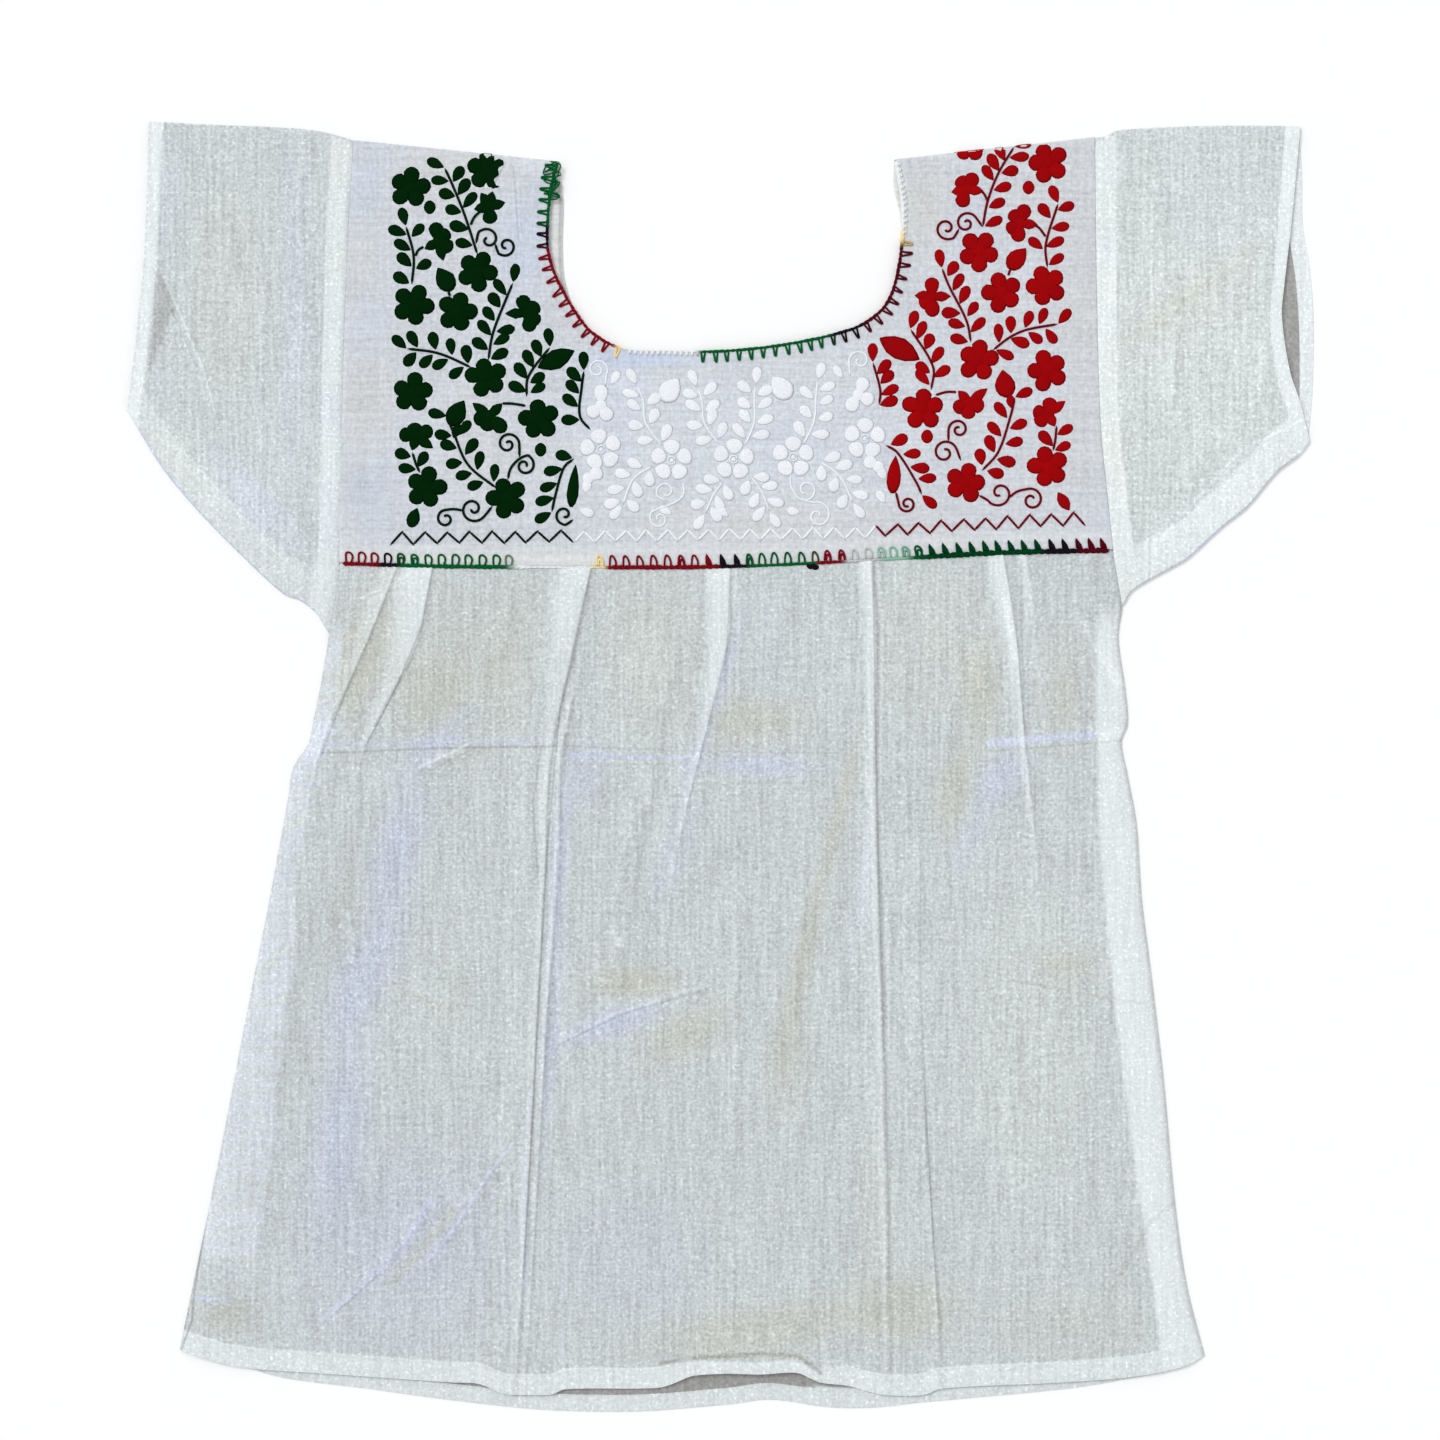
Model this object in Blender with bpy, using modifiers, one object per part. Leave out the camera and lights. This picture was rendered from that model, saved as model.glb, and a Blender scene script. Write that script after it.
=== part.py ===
import math
from collections import namedtuple

import bpy
import bmesh
from mathutils import Vector
from mathutils.geometry import interpolate_bezier

# The blouse lies on its back on the ground plane: +X to the wearer's left, +Y to the shoulders, +Z up.
# Tables are in millimetres from the middle of the whole outline, and everything else is in metres.
MM = 0.001

# Driving dimensions
WALL = 1.2 * MM             # thickness of each cloth wall
LAYER_GAP = 0.5 * MM        # air between the back layer and the front layer
SEAM_GAP = 0.3 * MM         # left between two pieces that are sewn together
BACK_LEVEL = WALL / 2       # middle of the back layer's wall
FRONT_LEVEL = BACK_LEVEL + WALL + LAYER_GAP
ROLL_RADIUS = (FRONT_LEVEL - BACK_LEVEL) / 2
ROLL_STEPS = 4              # facets over each folded edge

Point = namedtuple("Point", "x y")
Crease = namedtuple("Crease", "x1 y1 x2 y2 rise spread")
Fold = namedtuple("Fold", "name crest rise width crisp")

# Seams and edges of the flat garment, each from the wearer's right to left or from top to bottom
RIGHT_YOKE_EDGE = [Point(-209.1, 356.0), Point(-212.5, 295.0), Point(-215.4, 209.5), Point(-217.1, 116.6)]
LEFT_YOKE_EDGE = [Point(212.7, 357.7), Point(213.8, 266.5), Point(216.1, 192.4), Point(220.1, 152.5),
                  Point(223.0, 124.0)]
RIGHT_ARMHOLE = RIGHT_YOKE_EDGE + [Point(-222.8, 77.2)]
LEFT_ARMHOLE = LEFT_YOKE_EDGE + [Point(228.1, 92.6)]
YOKE_SEAM = [Point(-217.1, 116.6), Point(-160.1, 114.9), Point(-68.9, 114.3), Point(8.6, 114.9),
             Point(85.0, 118.4), Point(159.1, 122.6), Point(223.0, 124.0)]
NECK_FRONT = [Point(-93.0, 344.0), Point(-96.8, 329.2), Point(-98.8, 299.5), Point(-96.2, 285.3),
              Point(-90.5, 272.2), Point(-80.9, 256.2), Point(-72.3, 246.5), Point(-56.3, 238.4),
              Point(-27.3, 236.8), Point(1.8, 236.8), Point(39.4, 241.0), Point(74.8, 249.4),
              Point(89.0, 257.9), Point(96.4, 267.6), Point(101.6, 287.0), Point(103.8, 313.8),
              Point(102.1, 331.5), Point(99.5, 345.0)]
NECK_BACK = [Point(-91.5, 344.0), Point(-89.8, 321.2), Point(-90.3, 295.0), Point(-88.3, 275.0),
             Point(-79.1, 253.9), Point(-63.2, 239.6), Point(-27.3, 236.0), Point(1.8, 236.0),
             Point(39.4, 240.0), Point(74.8, 248.2), Point(89.6, 257.4), Point(97.6, 268.2),
             Point(102.3, 290.0), Point(102.1, 314.9), Point(98.6, 330.0), Point(98.6, 345.0)]

RIGHT_SLEEVE_TOP = [Point(-209.1, 356.0), Point(-228.5, 361.1), Point(-254.1, 363.4), Point(-288.3, 364.8),
                    Point(-325.4, 366.8)]
RIGHT_CUFF = [Point(-325.4, 366.8), Point(-327.9, 295.5), Point(-332.2, 249.4), Point(-337.5, 203.8)]
RIGHT_UNDERARM = [Point(-222.8, 77.2), Point(-229.6, 88.6), Point(-239.9, 96.6), Point(-248.0, 99.5),
                  Point(-271.2, 120.6), Point(-296.9, 146.8), Point(-316.8, 170.7), Point(-331.1, 193.5),
                  Point(-337.5, 203.8)]
LEFT_SLEEVE_TOP = [Point(212.7, 357.7), Point(218.6, 358.0), Point(225.8, 361.4), Point(244.0, 362.8),
                   Point(277.7, 364.1), Point(329.5, 364.1)]
LEFT_CUFF_FRONT = [Point(329.5, 364.1), Point(324.4, 309.8), Point(319.9, 272.2), Point(318.7, 256.2),
                   Point(323.3, 226.0), Point(329.0, 208.9), Point(334.7, 186.5)]
LEFT_CUFF_BACK = [Point(329.5, 364.1), Point(331.0, 337.2), Point(331.4, 309.8), Point(335.6, 282.4),
                  Point(337.5, 256.2), Point(337.0, 216.9), Point(334.7, 186.5)]
LEFT_UNDERARM = [Point(228.1, 92.6), Point(232.5, 100.5), Point(241.8, 106.9), Point(256.6, 114.9),
                 Point(265.1, 120.0), Point(283.9, 137.1), Point(298.8, 149.1), Point(315.9, 169.0),
                 Point(328.4, 178.7), Point(334.7, 186.5)]

RIGHT_SIDE = [Point(-217.1, 116.6), Point(-222.8, 77.2), Point(-227.3, 49.9), Point(-232.5, 24.0),
              Point(-235.0, 13.0), Point(-243.5, 0.0), Point(-246.5, -18.5), Point(-257.0, -75.5),
              Point(-269.5, -138.2), Point(-282.6, -206.6), Point(-294.0, -263.6), Point(-308.3, -332.0)]
LEFT_SIDE = [Point(223.0, 124.0), Point(228.1, 92.6), Point(226.2, 74.0), Point(230.5, 42.0),
             Point(231.5, 24.0), Point(228.0, 15.0), Point(231.5, -4.3), Point(236.6, -32.8),
             Point(239.5, -75.0), Point(244.6, -115.4), Point(252.0, -178.1), Point(258.3, -246.5),
             Point(265.1, -294.4), Point(275.4, -334.9)]
FRONT_HEM = [Point(-308.3, -332.0), Point(-276.4, -340.6), Point(-226.2, -344.6), Point(-152.7, -349.7),
             Point(-124.2, -356.0), Point(-95.7, -356.5), Point(-68.9, -353.7), Point(-33.5, -352.0),
             Point(-16.4, -345.7), Point(0.7, -342.9), Point(28.0, -342.9), Point(45.1, -346.3),
             Point(62.2, -353.1), Point(94.1, -356.5), Point(113.5, -356.2), Point(126.6, -352.0),
             Point(193.3, -349.7), Point(236.1, -346.3), Point(261.7, -341.1), Point(275.4, -334.9)]
BACK_HEM = [Point(-308.3, -332.0), Point(-269.5, -342.3), Point(-247.9, -348.0), Point(-202.8, -353.7),
            Point(-152.7, -360.5), Point(-102.5, -365.7), Point(-48.9, -366.8), Point(4.1, -362.8),
            Point(28.0, -360.0), Point(62.2, -364.5), Point(87.9, -364.5), Point(113.5, -361.7),
            Point(193.3, -354.3), Point(227.5, -349.1), Point(261.7, -342.3), Point(275.4, -334.9)]

# The front skirt's pleats and folds. LEVELS are shares of the way from the yoke seam to the hem, and each
# fold has its crest's x and its height above the cloth at every level, in mm. The cloth climbs to the crest
# from the wearer's right over `width` and drops to the left within `crisp`.
LEVELS = (0.0, 0.10, 0.23, 0.36, 0.53, 0.75, 1.0)
FOLDS = [
    Fold("side tuck", (-182.9, -194.3, -222.8, -239.9, -255.8, -275.2, -294.0),
         (0.9, 1.5, 1.2, 0, 0, 0, 0), 9, 3),
    Fold("first pleat", (-161.8, -171.5, -196.6, -211.4, -227.3, -245.6, -263.8),
         (1.6, 2.0, 1.2, 0.5, 0, 0, 0), 15, 3),
    Fold("second pleat", (-70.6, -78.0, -85.4, -100.2, -108.5, -116.8, -133.9),
         (1.8, 2.5, 2.2, 2.0, 1.9, 1.8, 1.0), 21, 3),
    Fold("centre crease", (-10.5, -17.0, -26.1, -44.4, -57.5, -68.9, -74.6),
         (0.4, 0.8, 0.9, 0.9, 0.6, 0.3, 0), 14, 7),
    Fold("third pleat", (8.6, 8.1, 6.9, 2.4, -3.3, -6.2, -9.0),
         (1.8, 2.2, 0.6, 0.3, 0, 0, 0), 12, 3),
    Fold("left run", (70.5, 74.5, 76.0, 69.1, 77.2, 82.3, 86.0),
         (0.3, 0.8, 1.3, 1.2, 0.9, 0.7, 0.3), 16, 4),
    Fold("fourth pleat", (87.3, 89.0, 90.7, 89.6, 90.7, 96.4, 99.8),
         (1.8, 2.2, 1.4, 1.4, 1.4, 1.4, 0.9), 7, 3),
    Fold("long crease", (114.7, 114.7, 113.5, 110.1, 111.2, 118.6, 128.4),
         (0.3, 0.6, 0.9, 0.9, 0.7, 1.2, 0.6), 10, 5),
    Fold("fifth pleat", (166.0, 169.4, 176.2, 179.6, 181.9, 187.6, 193.3),
         (1.7, 2.2, 1.8, 1.0, 0.3, 0, 0), 18, 3),
    Fold("side allowance", (202.4, 207.6, 211.6, 216.7, 227.0, 238.9, 253.2),
         (0.8, 0.8, 0.6, 0.6, 0.5, 0.5, 0.2), 10, 4),
]
PLATEAU = 0.6               # share of a fold's width over which the cloth climbs to its full height
WIDEST_PANEL = 26 * MM      # widest step between two columns of the front skirt
EDGE_TAPER = 12 * MM        # over this width the relief dies out towards a side edge
SKIRT_ROWS = (0, 0.025, 0.05, 0.08, 0.115, 0.15, 0.185, 0.21, 0.228, 0.246, 0.275, 0.32, 0.365, 0.42, 0.48,
              0.54, 0.60, 0.66, 0.72, 0.78, 0.84, 0.90, 0.95, 0.98, 1.0)

# Creases that cross a piece: ends in mm, height in mm, and how far each side of the line they spread
SKIRT_CREASES = [
    Crease(-238, 5, -90, 9, -0.25, 9), Crease(-90, 9, 66, 8, -0.25, 9),
    Crease(66, 8, 228, 17, -0.25, 9),
    Crease(-170, -4, -139, 10, 1.0, 9), Crease(-166, -278, -131, -236, 1.1, 10),
    Crease(-92, -158, -58, -141, 0.9, 9), Crease(-58, -141, -10, -127, 0.9, 9),
    Crease(-210, -90, -196, -190, 0.8, 16), Crease(20, -120, 26, -250, 0.7, 14),
    Crease(160, -130, 170, -250, 0.7, 14),
]
SLEEVE_CREASES_RIGHT = [
    Crease(-320, 286, -310, 262, 0.9, 7), Crease(-310, 262, -294, 226, 1.1, 8),
    Crease(-294, 226, -288, 203, 0.9, 7), Crease(-262, 255, -261, 181, 0.9, 11),
    Crease(-238, 330, -236, 250, 0.7, 12), Crease(-285, 345, -281, 290, 0.6, 12),
]
SLEEVE_CREASES_LEFT = [
    Crease(310, 300, 312, 225, 1.6, 16), Crease(308, 243, 306, 209, 0.8, 7),
    Crease(250, 330, 256, 215, 0.8, 13),
    Crease(290, 190, 262, 160, 0.9, 10), Crease(236, 215, 233, 150, 0.6, 9),
]
YOKE_CREASES = [
    Crease(-115.6, 340, -116, 250, 0.6, 8), Crease(-40, 200, 60, 196, 0.5, 18),
    Crease(150, 320, 158, 210, 0.5, 14),
]

# Facets: from the armhole to the cuff, down each sleeve layer, round the neck and out to the yoke's edges
SLEEVE_ACROSS = 11
SLEEVE_DOWN_FRONT = 16
SLEEVE_DOWN_BACK = 10
YOKE_ARMHOLE_FACETS = 9
YOKE_SEAM_FACETS = 14
YOKE_ROWS = 5
NECK_CORNER = 0.29          # share of the neckline between a shoulder and the yoke's lower corner
BACK_SKIRT_COLUMNS = 26
BACK_SKIRT_ROWS = 14

SHEER_CLOTH = dict(name="sheer_cotton", colour=(0.62, 0.64, 0.62), roughness=0.85)
YOKE_CLOTH = dict(name="yoke_cotton", colour=(0.74, 0.76, 0.84), roughness=0.8)


# A smooth line through a table of points, read by its share of length or by one coordinate
class Line:
    def __init__(self, points, shift=(0, 0), steps=8):
        knots = [Vector((p.x * MM + shift[0], p.y * MM + shift[1])) for p in points]
        ahead = knots[1:] + [knots[-1]]
        behind = [knots[0]] + knots[:-1]
        ways = [(after - before).normalized() for before, after in zip(behind, ahead)]
        self.points = [knots[0]]
        for start, end, leave, arrive in zip(knots, knots[1:], ways, ways[1:]):
            reach = (end - start).length / 3
            part = interpolate_bezier(start, start + leave * reach, end - arrive * reach, end, steps + 1)
            self.points.extend(part[1:])
        self.lengths = [0.0]
        for start, end in zip(self.points, self.points[1:]):
            self.lengths.append(self.lengths[-1] + (end - start).length)

    def at(self, share):
        target = share * self.lengths[-1]
        for index in range(1, len(self.points)):
            if target <= self.lengths[index] or index == len(self.points) - 1:
                span = self.lengths[index] - self.lengths[index - 1]
                part = (target - self.lengths[index - 1]) / span
                return self.points[index - 1].lerp(self.points[index], min(1.0, max(0.0, part)))

    def share_at_y(self, y):
        for index in range(1, len(self.points)):
            above, below = self.points[index - 1], self.points[index]
            if above.y >= y >= below.y:
                part = (above.y - y) / (above.y - below.y)
                return (self.lengths[index - 1] + part * (below - above).length) / self.lengths[-1]
        return 0.0 if y > self.points[0].y else 1.0

    def x_at(self, y):
        return self.at(self.share_at_y(y)).x

    def y_at(self, x):
        for start, end in zip(self.points, self.points[1:]):
            if start.x <= x <= end.x:
                return start.y + (end.y - start.y) * (x - start.x) / (end.x - start.x)
        return self.points[0].y if x < self.points[0].x else self.points[-1].y


def mix(start, end, share):
    return start + (end - start) * share


def ease(share):
    share = min(1.0, max(0.0, share))
    return share * share * (3 - 2 * share)


# How fast a fold's value changes at a level, per share of the way down
def slope_at(values, index):
    before, after = max(0, index - 1), min(len(LEVELS) - 1, index + 1)
    return (values[after] - values[before]) / (LEVELS[after] - LEVELS[before])


# A value from a fold's row, smoothly between the levels
def at_level(values, down):
    index = 1
    while down > LEVELS[index] and index < len(LEVELS) - 1:
        index += 1
    span = LEVELS[index] - LEVELS[index - 1]
    part = (down - LEVELS[index - 1]) / span
    leave, arrive = slope_at(values, index - 1) * span, slope_at(values, index) * span
    bend = leave * part * (1 - part) ** 2 - arrive * part ** 2 * (1 - part)
    return (mix(values[index - 1], values[index], ease(part)) + bend) * MM


# Where creases meet, the strongest one counts
def crease_height(creases, spot):
    height = 0.0
    for crease in creases:
        start = Vector((crease.x1, crease.y1)) * MM
        run = Vector((crease.x2, crease.y2)) * MM - start
        share = min(1.0, max(0.0, (spot - start).dot(run) / run.length_squared))
        away = (spot - start - run * share).length / (crease.spread * MM)
        height = max(height, crease.rise * MM * ease(1 - away), key=abs)
    return height


def fold_height(spot, down):
    height = 0.0
    for fold in FOLDS:
        offset = spot.x - at_level(fold.crest, down)
        width = fold.width * MM
        if offset <= 0:
            share = ease((offset + width) / (width * PLATEAU))
        else:
            share = ease(1 - offset / (fold.crisp * MM))
        height += max(0.0, at_level(fold.rise, down)) * share
    return height


# A flat panel between two side lines, from the yoke seam down to a hem
class Panel:
    def __init__(self, hem):
        self.right = Line(RIGHT_SIDE)
        self.left = Line(LEFT_SIDE)
        self.seam = Line(YOKE_SEAM, shift=(0, -SEAM_GAP / 2))
        self.hem = Line(hem)

    def edges(self, down):
        right_y = mix(self.right.points[0].y, self.right.points[-1].y, down)
        left_y = mix(self.left.points[0].y, self.left.points[-1].y, down)
        return self.right.x_at(right_y), self.left.x_at(left_y)

    def spot(self, across, down):
        top_y = self.seam.y_at(mix(self.seam.points[0].x, self.seam.points[-1].x, across))
        hem_y = self.hem.y_at(mix(self.hem.points[0].x, self.hem.points[-1].x, across))
        right_x, left_x = self.edges(down)
        return Vector((mix(right_x, left_x, across), mix(top_y, hem_y, down)))


# Lines down the skirt at the foot, plateau, crest and drop of every fold, with more where they are far apart
def skirt_columns(panel, down):
    right_x, left_x = panel.edges(down)
    guides = [0.0]
    for fold in FOLDS:
        crest = at_level(fold.crest, down)
        offsets = (-fold.width, -fold.width * (1 - PLATEAU / 2), -fold.width * (1 - PLATEAU), 0, fold.crisp)
        for offset in offsets:
            guides.append((crest + offset * MM - right_x) / (left_x - right_x))
    return guides + [1.0]


def skirt_splits(panel):
    widest = [0.0] * (len(FOLDS) * 5 + 1)
    for down in LEVELS:
        right_x, left_x = panel.edges(down)
        guides = skirt_columns(panel, down)
        for index, (start, end) in enumerate(zip(guides, guides[1:])):
            widest[index] = max(widest[index], (end - start) * (left_x - right_x))
    return [max(1, math.ceil(width / WIDEST_PANEL)) for width in widest]


def front_skirt_surface(panel):
    splits = skirt_splits(panel)
    grid = []
    for down in SKIRT_ROWS:
        guides = skirt_columns(panel, down)
        shares = [0.0]
        for start, end, parts in zip(guides, guides[1:], splits):
            shares.extend(mix(start, end, (part + 1) / parts) for part in range(parts))
        right_x, left_x = panel.edges(down)
        row = []
        for across in shares:
            spot = panel.spot(across, down)
            inset = min(spot.x - right_x, left_x - spot.x)
            relief = fold_height(spot, down) + crease_height(SKIRT_CREASES, spot)
            row.append(spot.to_3d() + Vector((0, 0, FRONT_LEVEL + relief * ease(inset / EDGE_TAPER))))
        grid.append(row)
    return grid


def back_skirt_surface(panel):
    grid = []
    for row in range(BACK_SKIRT_ROWS + 1):
        spots = [panel.spot(column / BACK_SKIRT_COLUMNS, row / BACK_SKIRT_ROWS)
                 for column in range(BACK_SKIRT_COLUMNS + 1)]
        grid.append([spot.to_3d() + Vector((0, 0, BACK_LEVEL)) for spot in spots])
    return grid


# The points over a folded edge, from the front layer round to the back layer
def roll(front_edge, back_edge, outward):
    points = []
    for step in range(1, ROLL_STEPS):
        angle = math.pi * step / ROLL_STEPS
        flat = front_edge.lerp(back_edge, (1 - math.cos(angle)) / 2) + outward * ROLL_RADIUS * math.sin(angle)
        level = BACK_LEVEL + ROLL_RADIUS * (1 + math.cos(angle))
        points.append(flat.to_3d() + Vector((0, 0, level)))
    return points


# A patch between four edges: along the top and the underarm, and down the armhole and the cuff
def patch_spot(top, bottom, near, far, along, down):
    ruled = near.at(down).lerp(far.at(down), along) + top.at(along).lerp(bottom.at(along), down)
    corners_top = near.at(0).lerp(far.at(0), along)
    corners_bottom = near.at(1).lerp(far.at(1), along)
    return ruled - corners_top.lerp(corners_bottom, down)


# A sleeve as rings from the armhole to the cuff, each down the front, round the underarm and up the back
def sleeve_surface(side, top, underarm, armhole, cuffs, creases):
    shift = (side * SEAM_GAP, 0)
    armhole = Line(armhole, shift)
    top = Line(top, shift)
    underarm = Line(underarm, (side * SEAM_GAP * 2, 0))
    cuffs = [Line(cuff, shift) for cuff in cuffs]
    grid = []
    for step in range(SLEEVE_ACROSS + 1):
        along = step / SLEEVE_ACROSS
        ring = []
        for index in range(SLEEVE_DOWN_FRONT + 1):
            down = index / SLEEVE_DOWN_FRONT
            spot = patch_spot(top, underarm, armhole, cuffs[0], along, down)
            edge = ease(min(down, 1 - down) * SLEEVE_DOWN_FRONT / 2)
            seam = ease(along * SLEEVE_ACROSS / 2)
            relief = crease_height(creases, spot) * edge * seam
            ring.append(spot.to_3d() + Vector((0, 0, FRONT_LEVEL + relief)))
        low = Vector((side, -1)).normalized()
        front_low = patch_spot(top, underarm, armhole, cuffs[0], along, 1)
        back_low = patch_spot(top, underarm, armhole, cuffs[1], along, 1)
        ring.extend(roll(front_low, back_low, low))
        for index in range(SLEEVE_DOWN_BACK + 1):
            spot = patch_spot(top, underarm, armhole, cuffs[1], along, 1 - index / SLEEVE_DOWN_BACK)
            ring.append(spot.to_3d() + Vector((0, 0, BACK_LEVEL)))
        front_high = patch_spot(top, underarm, armhole, cuffs[0], along, 0)
        back_high = patch_spot(top, underarm, armhole, cuffs[1], along, 0)
        ring.extend(reversed(roll(front_high, back_high, Vector((0, 1)))))
        ring.append(ring[0].copy())
        grid.append(ring)
    return grid


# One layer of the yoke: lines from the neck edge out to the armholes and the lower seam
def yoke_layer(neck_table, level, creases):
    neck = Line(neck_table)
    edges = (Line(RIGHT_YOKE_EDGE, (SEAM_GAP / 2, 0)), Line(LEFT_YOKE_EDGE, (-SEAM_GAP / 2, 0)))
    seam = Line(YOKE_SEAM, (0, SEAM_GAP / 2))
    stations = []
    for step in range(YOKE_ARMHOLE_FACETS):
        share = step / YOKE_ARMHOLE_FACETS
        stations.append((share * NECK_CORNER, edges[0].at(share)))
    for step in range(YOKE_SEAM_FACETS + 1):
        share = step / YOKE_SEAM_FACETS
        spot = seam.at(share)
        spot.x = min(max(spot.x, seam.points[0].x + SEAM_GAP / 2), seam.points[-1].x - SEAM_GAP / 2)
        stations.append((mix(NECK_CORNER, 1 - NECK_CORNER, share), spot))
    for step in range(1, YOKE_ARMHOLE_FACETS + 1):
        share = step / YOKE_ARMHOLE_FACETS
        stations.append((1 - NECK_CORNER * (1 - share), edges[1].at(1 - share)))
    rows = []
    for neck_share, outer in stations:
        inner = neck.at(neck_share)
        row = []
        for step in range(YOKE_ROWS + 1):
            spot = inner.lerp(outer, step / YOKE_ROWS)
            rim = ease(min(step, YOKE_ROWS - step, 1))
            row.append(spot.to_3d() + Vector((0, 0, level + crease_height(creases, spot) * rim)))
        rows.append(row)
    return rows


def yoke_surface():
    front = yoke_layer(NECK_FRONT, FRONT_LEVEL, YOKE_CREASES)
    back = yoke_layer(NECK_BACK, BACK_LEVEL, [])
    up = Vector((0, 1))
    over_left = [roll(a.to_2d(), b.to_2d(), up) for a, b in zip(front[-1], back[-1])]
    over_right = [roll(a.to_2d(), b.to_2d(), up) for a, b in zip(front[0], back[0])]
    ring = list(front)
    ring.extend(list(points) for points in zip(*over_left))
    ring.extend(reversed(back))
    ring.extend(reversed([list(points) for points in zip(*over_right)]))
    ring.append([point.copy() for point in front[0]])
    return ring


def cloth_material(settings):
    material = bpy.data.materials.new(settings["name"])
    material.use_nodes = True
    shader = material.node_tree.nodes["Principled BSDF"]
    shader.inputs["Base Color"].default_value = (*settings["colour"], 1)
    shader.inputs["Roughness"].default_value = settings["roughness"]
    shader.inputs["Metallic"].default_value = 0
    return material


# A grid laid over the surface's rows of points, closed where its ends meet, with the wall added evenly
def cloth_piece(name, surface, material, collection):
    rows = len(surface) - 1
    columns = len(surface[0]) - 1
    bm = bmesh.new()
    bmesh.ops.create_grid(bm, x_segments=columns, y_segments=rows, size=0.5)
    for vert in bm.verts:
        column = round((vert.co.x + 0.5) * columns)
        row = round((vert.co.y + 0.5) * rows)
        vert.co = surface[row][column]
    bmesh.ops.remove_doubles(bm, verts=bm.verts, dist=MM / 1000)
    bmesh.ops.recalc_face_normals(bm, faces=bm.faces)
    mesh = bpy.data.meshes.new(name)
    bm.to_mesh(mesh)
    bm.free()
    mesh.materials.append(material)
    mesh.shade_smooth()
    piece = bpy.data.objects.new(name, mesh)
    collection.objects.link(piece)
    wall = piece.modifiers.new("Wall", "SOLIDIFY")
    wall.thickness = WALL
    wall.offset = 0
    wall.use_even_offset = True
    return piece


def build():
    for existing in list(bpy.data.objects):
        bpy.data.objects.remove(existing, do_unlink=True)
    collection = bpy.data.collections.new("blouse")
    bpy.context.scene.collection.children.link(collection)
    sheer = cloth_material(SHEER_CLOTH)
    dense = cloth_material(YOKE_CLOTH)

    cloth_piece("back_skirt", back_skirt_surface(Panel(BACK_HEM)), sheer, collection)
    cloth_piece("front_skirt", front_skirt_surface(Panel(FRONT_HEM)), sheer, collection)
    cloth_piece("yoke", yoke_surface(), dense, collection)
    right = sleeve_surface(-1, RIGHT_SLEEVE_TOP, RIGHT_UNDERARM, RIGHT_ARMHOLE, (RIGHT_CUFF, RIGHT_CUFF),
                           SLEEVE_CREASES_RIGHT)
    cloth_piece("right_sleeve", right, sheer, collection)
    left = sleeve_surface(1, LEFT_SLEEVE_TOP, LEFT_UNDERARM, LEFT_ARMHOLE, (LEFT_CUFF_FRONT, LEFT_CUFF_BACK),
                          SLEEVE_CREASES_LEFT)
    cloth_piece("left_sleeve", left, sheer, collection)


build()
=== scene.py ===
import math
import random

import bpy
import bmesh
import numpy as np
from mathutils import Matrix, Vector, noise


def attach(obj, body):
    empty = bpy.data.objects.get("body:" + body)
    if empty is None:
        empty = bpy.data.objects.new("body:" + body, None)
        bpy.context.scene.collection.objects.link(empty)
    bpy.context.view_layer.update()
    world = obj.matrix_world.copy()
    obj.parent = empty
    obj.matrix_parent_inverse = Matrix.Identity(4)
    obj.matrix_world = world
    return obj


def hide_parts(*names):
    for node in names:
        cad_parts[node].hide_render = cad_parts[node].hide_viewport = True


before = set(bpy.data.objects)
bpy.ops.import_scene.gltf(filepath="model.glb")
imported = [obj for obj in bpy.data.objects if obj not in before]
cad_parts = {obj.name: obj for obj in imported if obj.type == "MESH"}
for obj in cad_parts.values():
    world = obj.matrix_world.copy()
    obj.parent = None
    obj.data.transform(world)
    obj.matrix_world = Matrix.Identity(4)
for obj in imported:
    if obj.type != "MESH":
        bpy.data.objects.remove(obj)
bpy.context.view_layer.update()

mm = 0.001

# How the layers lie, in metres: the back on the ground, the front just over it
layers = {
    "backLevel": 0.32 * mm,      # middle of the back layer
    "frontLevel": 2.3 * mm,      # middle of the front layer, as in the CAD
    "sideLevel": 0.95 * mm,      # where the front layer comes down at a sewn side
    "sheerCloth": 0.34 * mm,     # thickness of the muslin
    "denseCloth": 0.5 * mm,      # thickness of the yoke's cloth
    "seamGap": 0.05 * mm,        # left open along a sewn seam
    "seamDip": 0.7 * mm,         # how far both cloths sink into a seam
}

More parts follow.
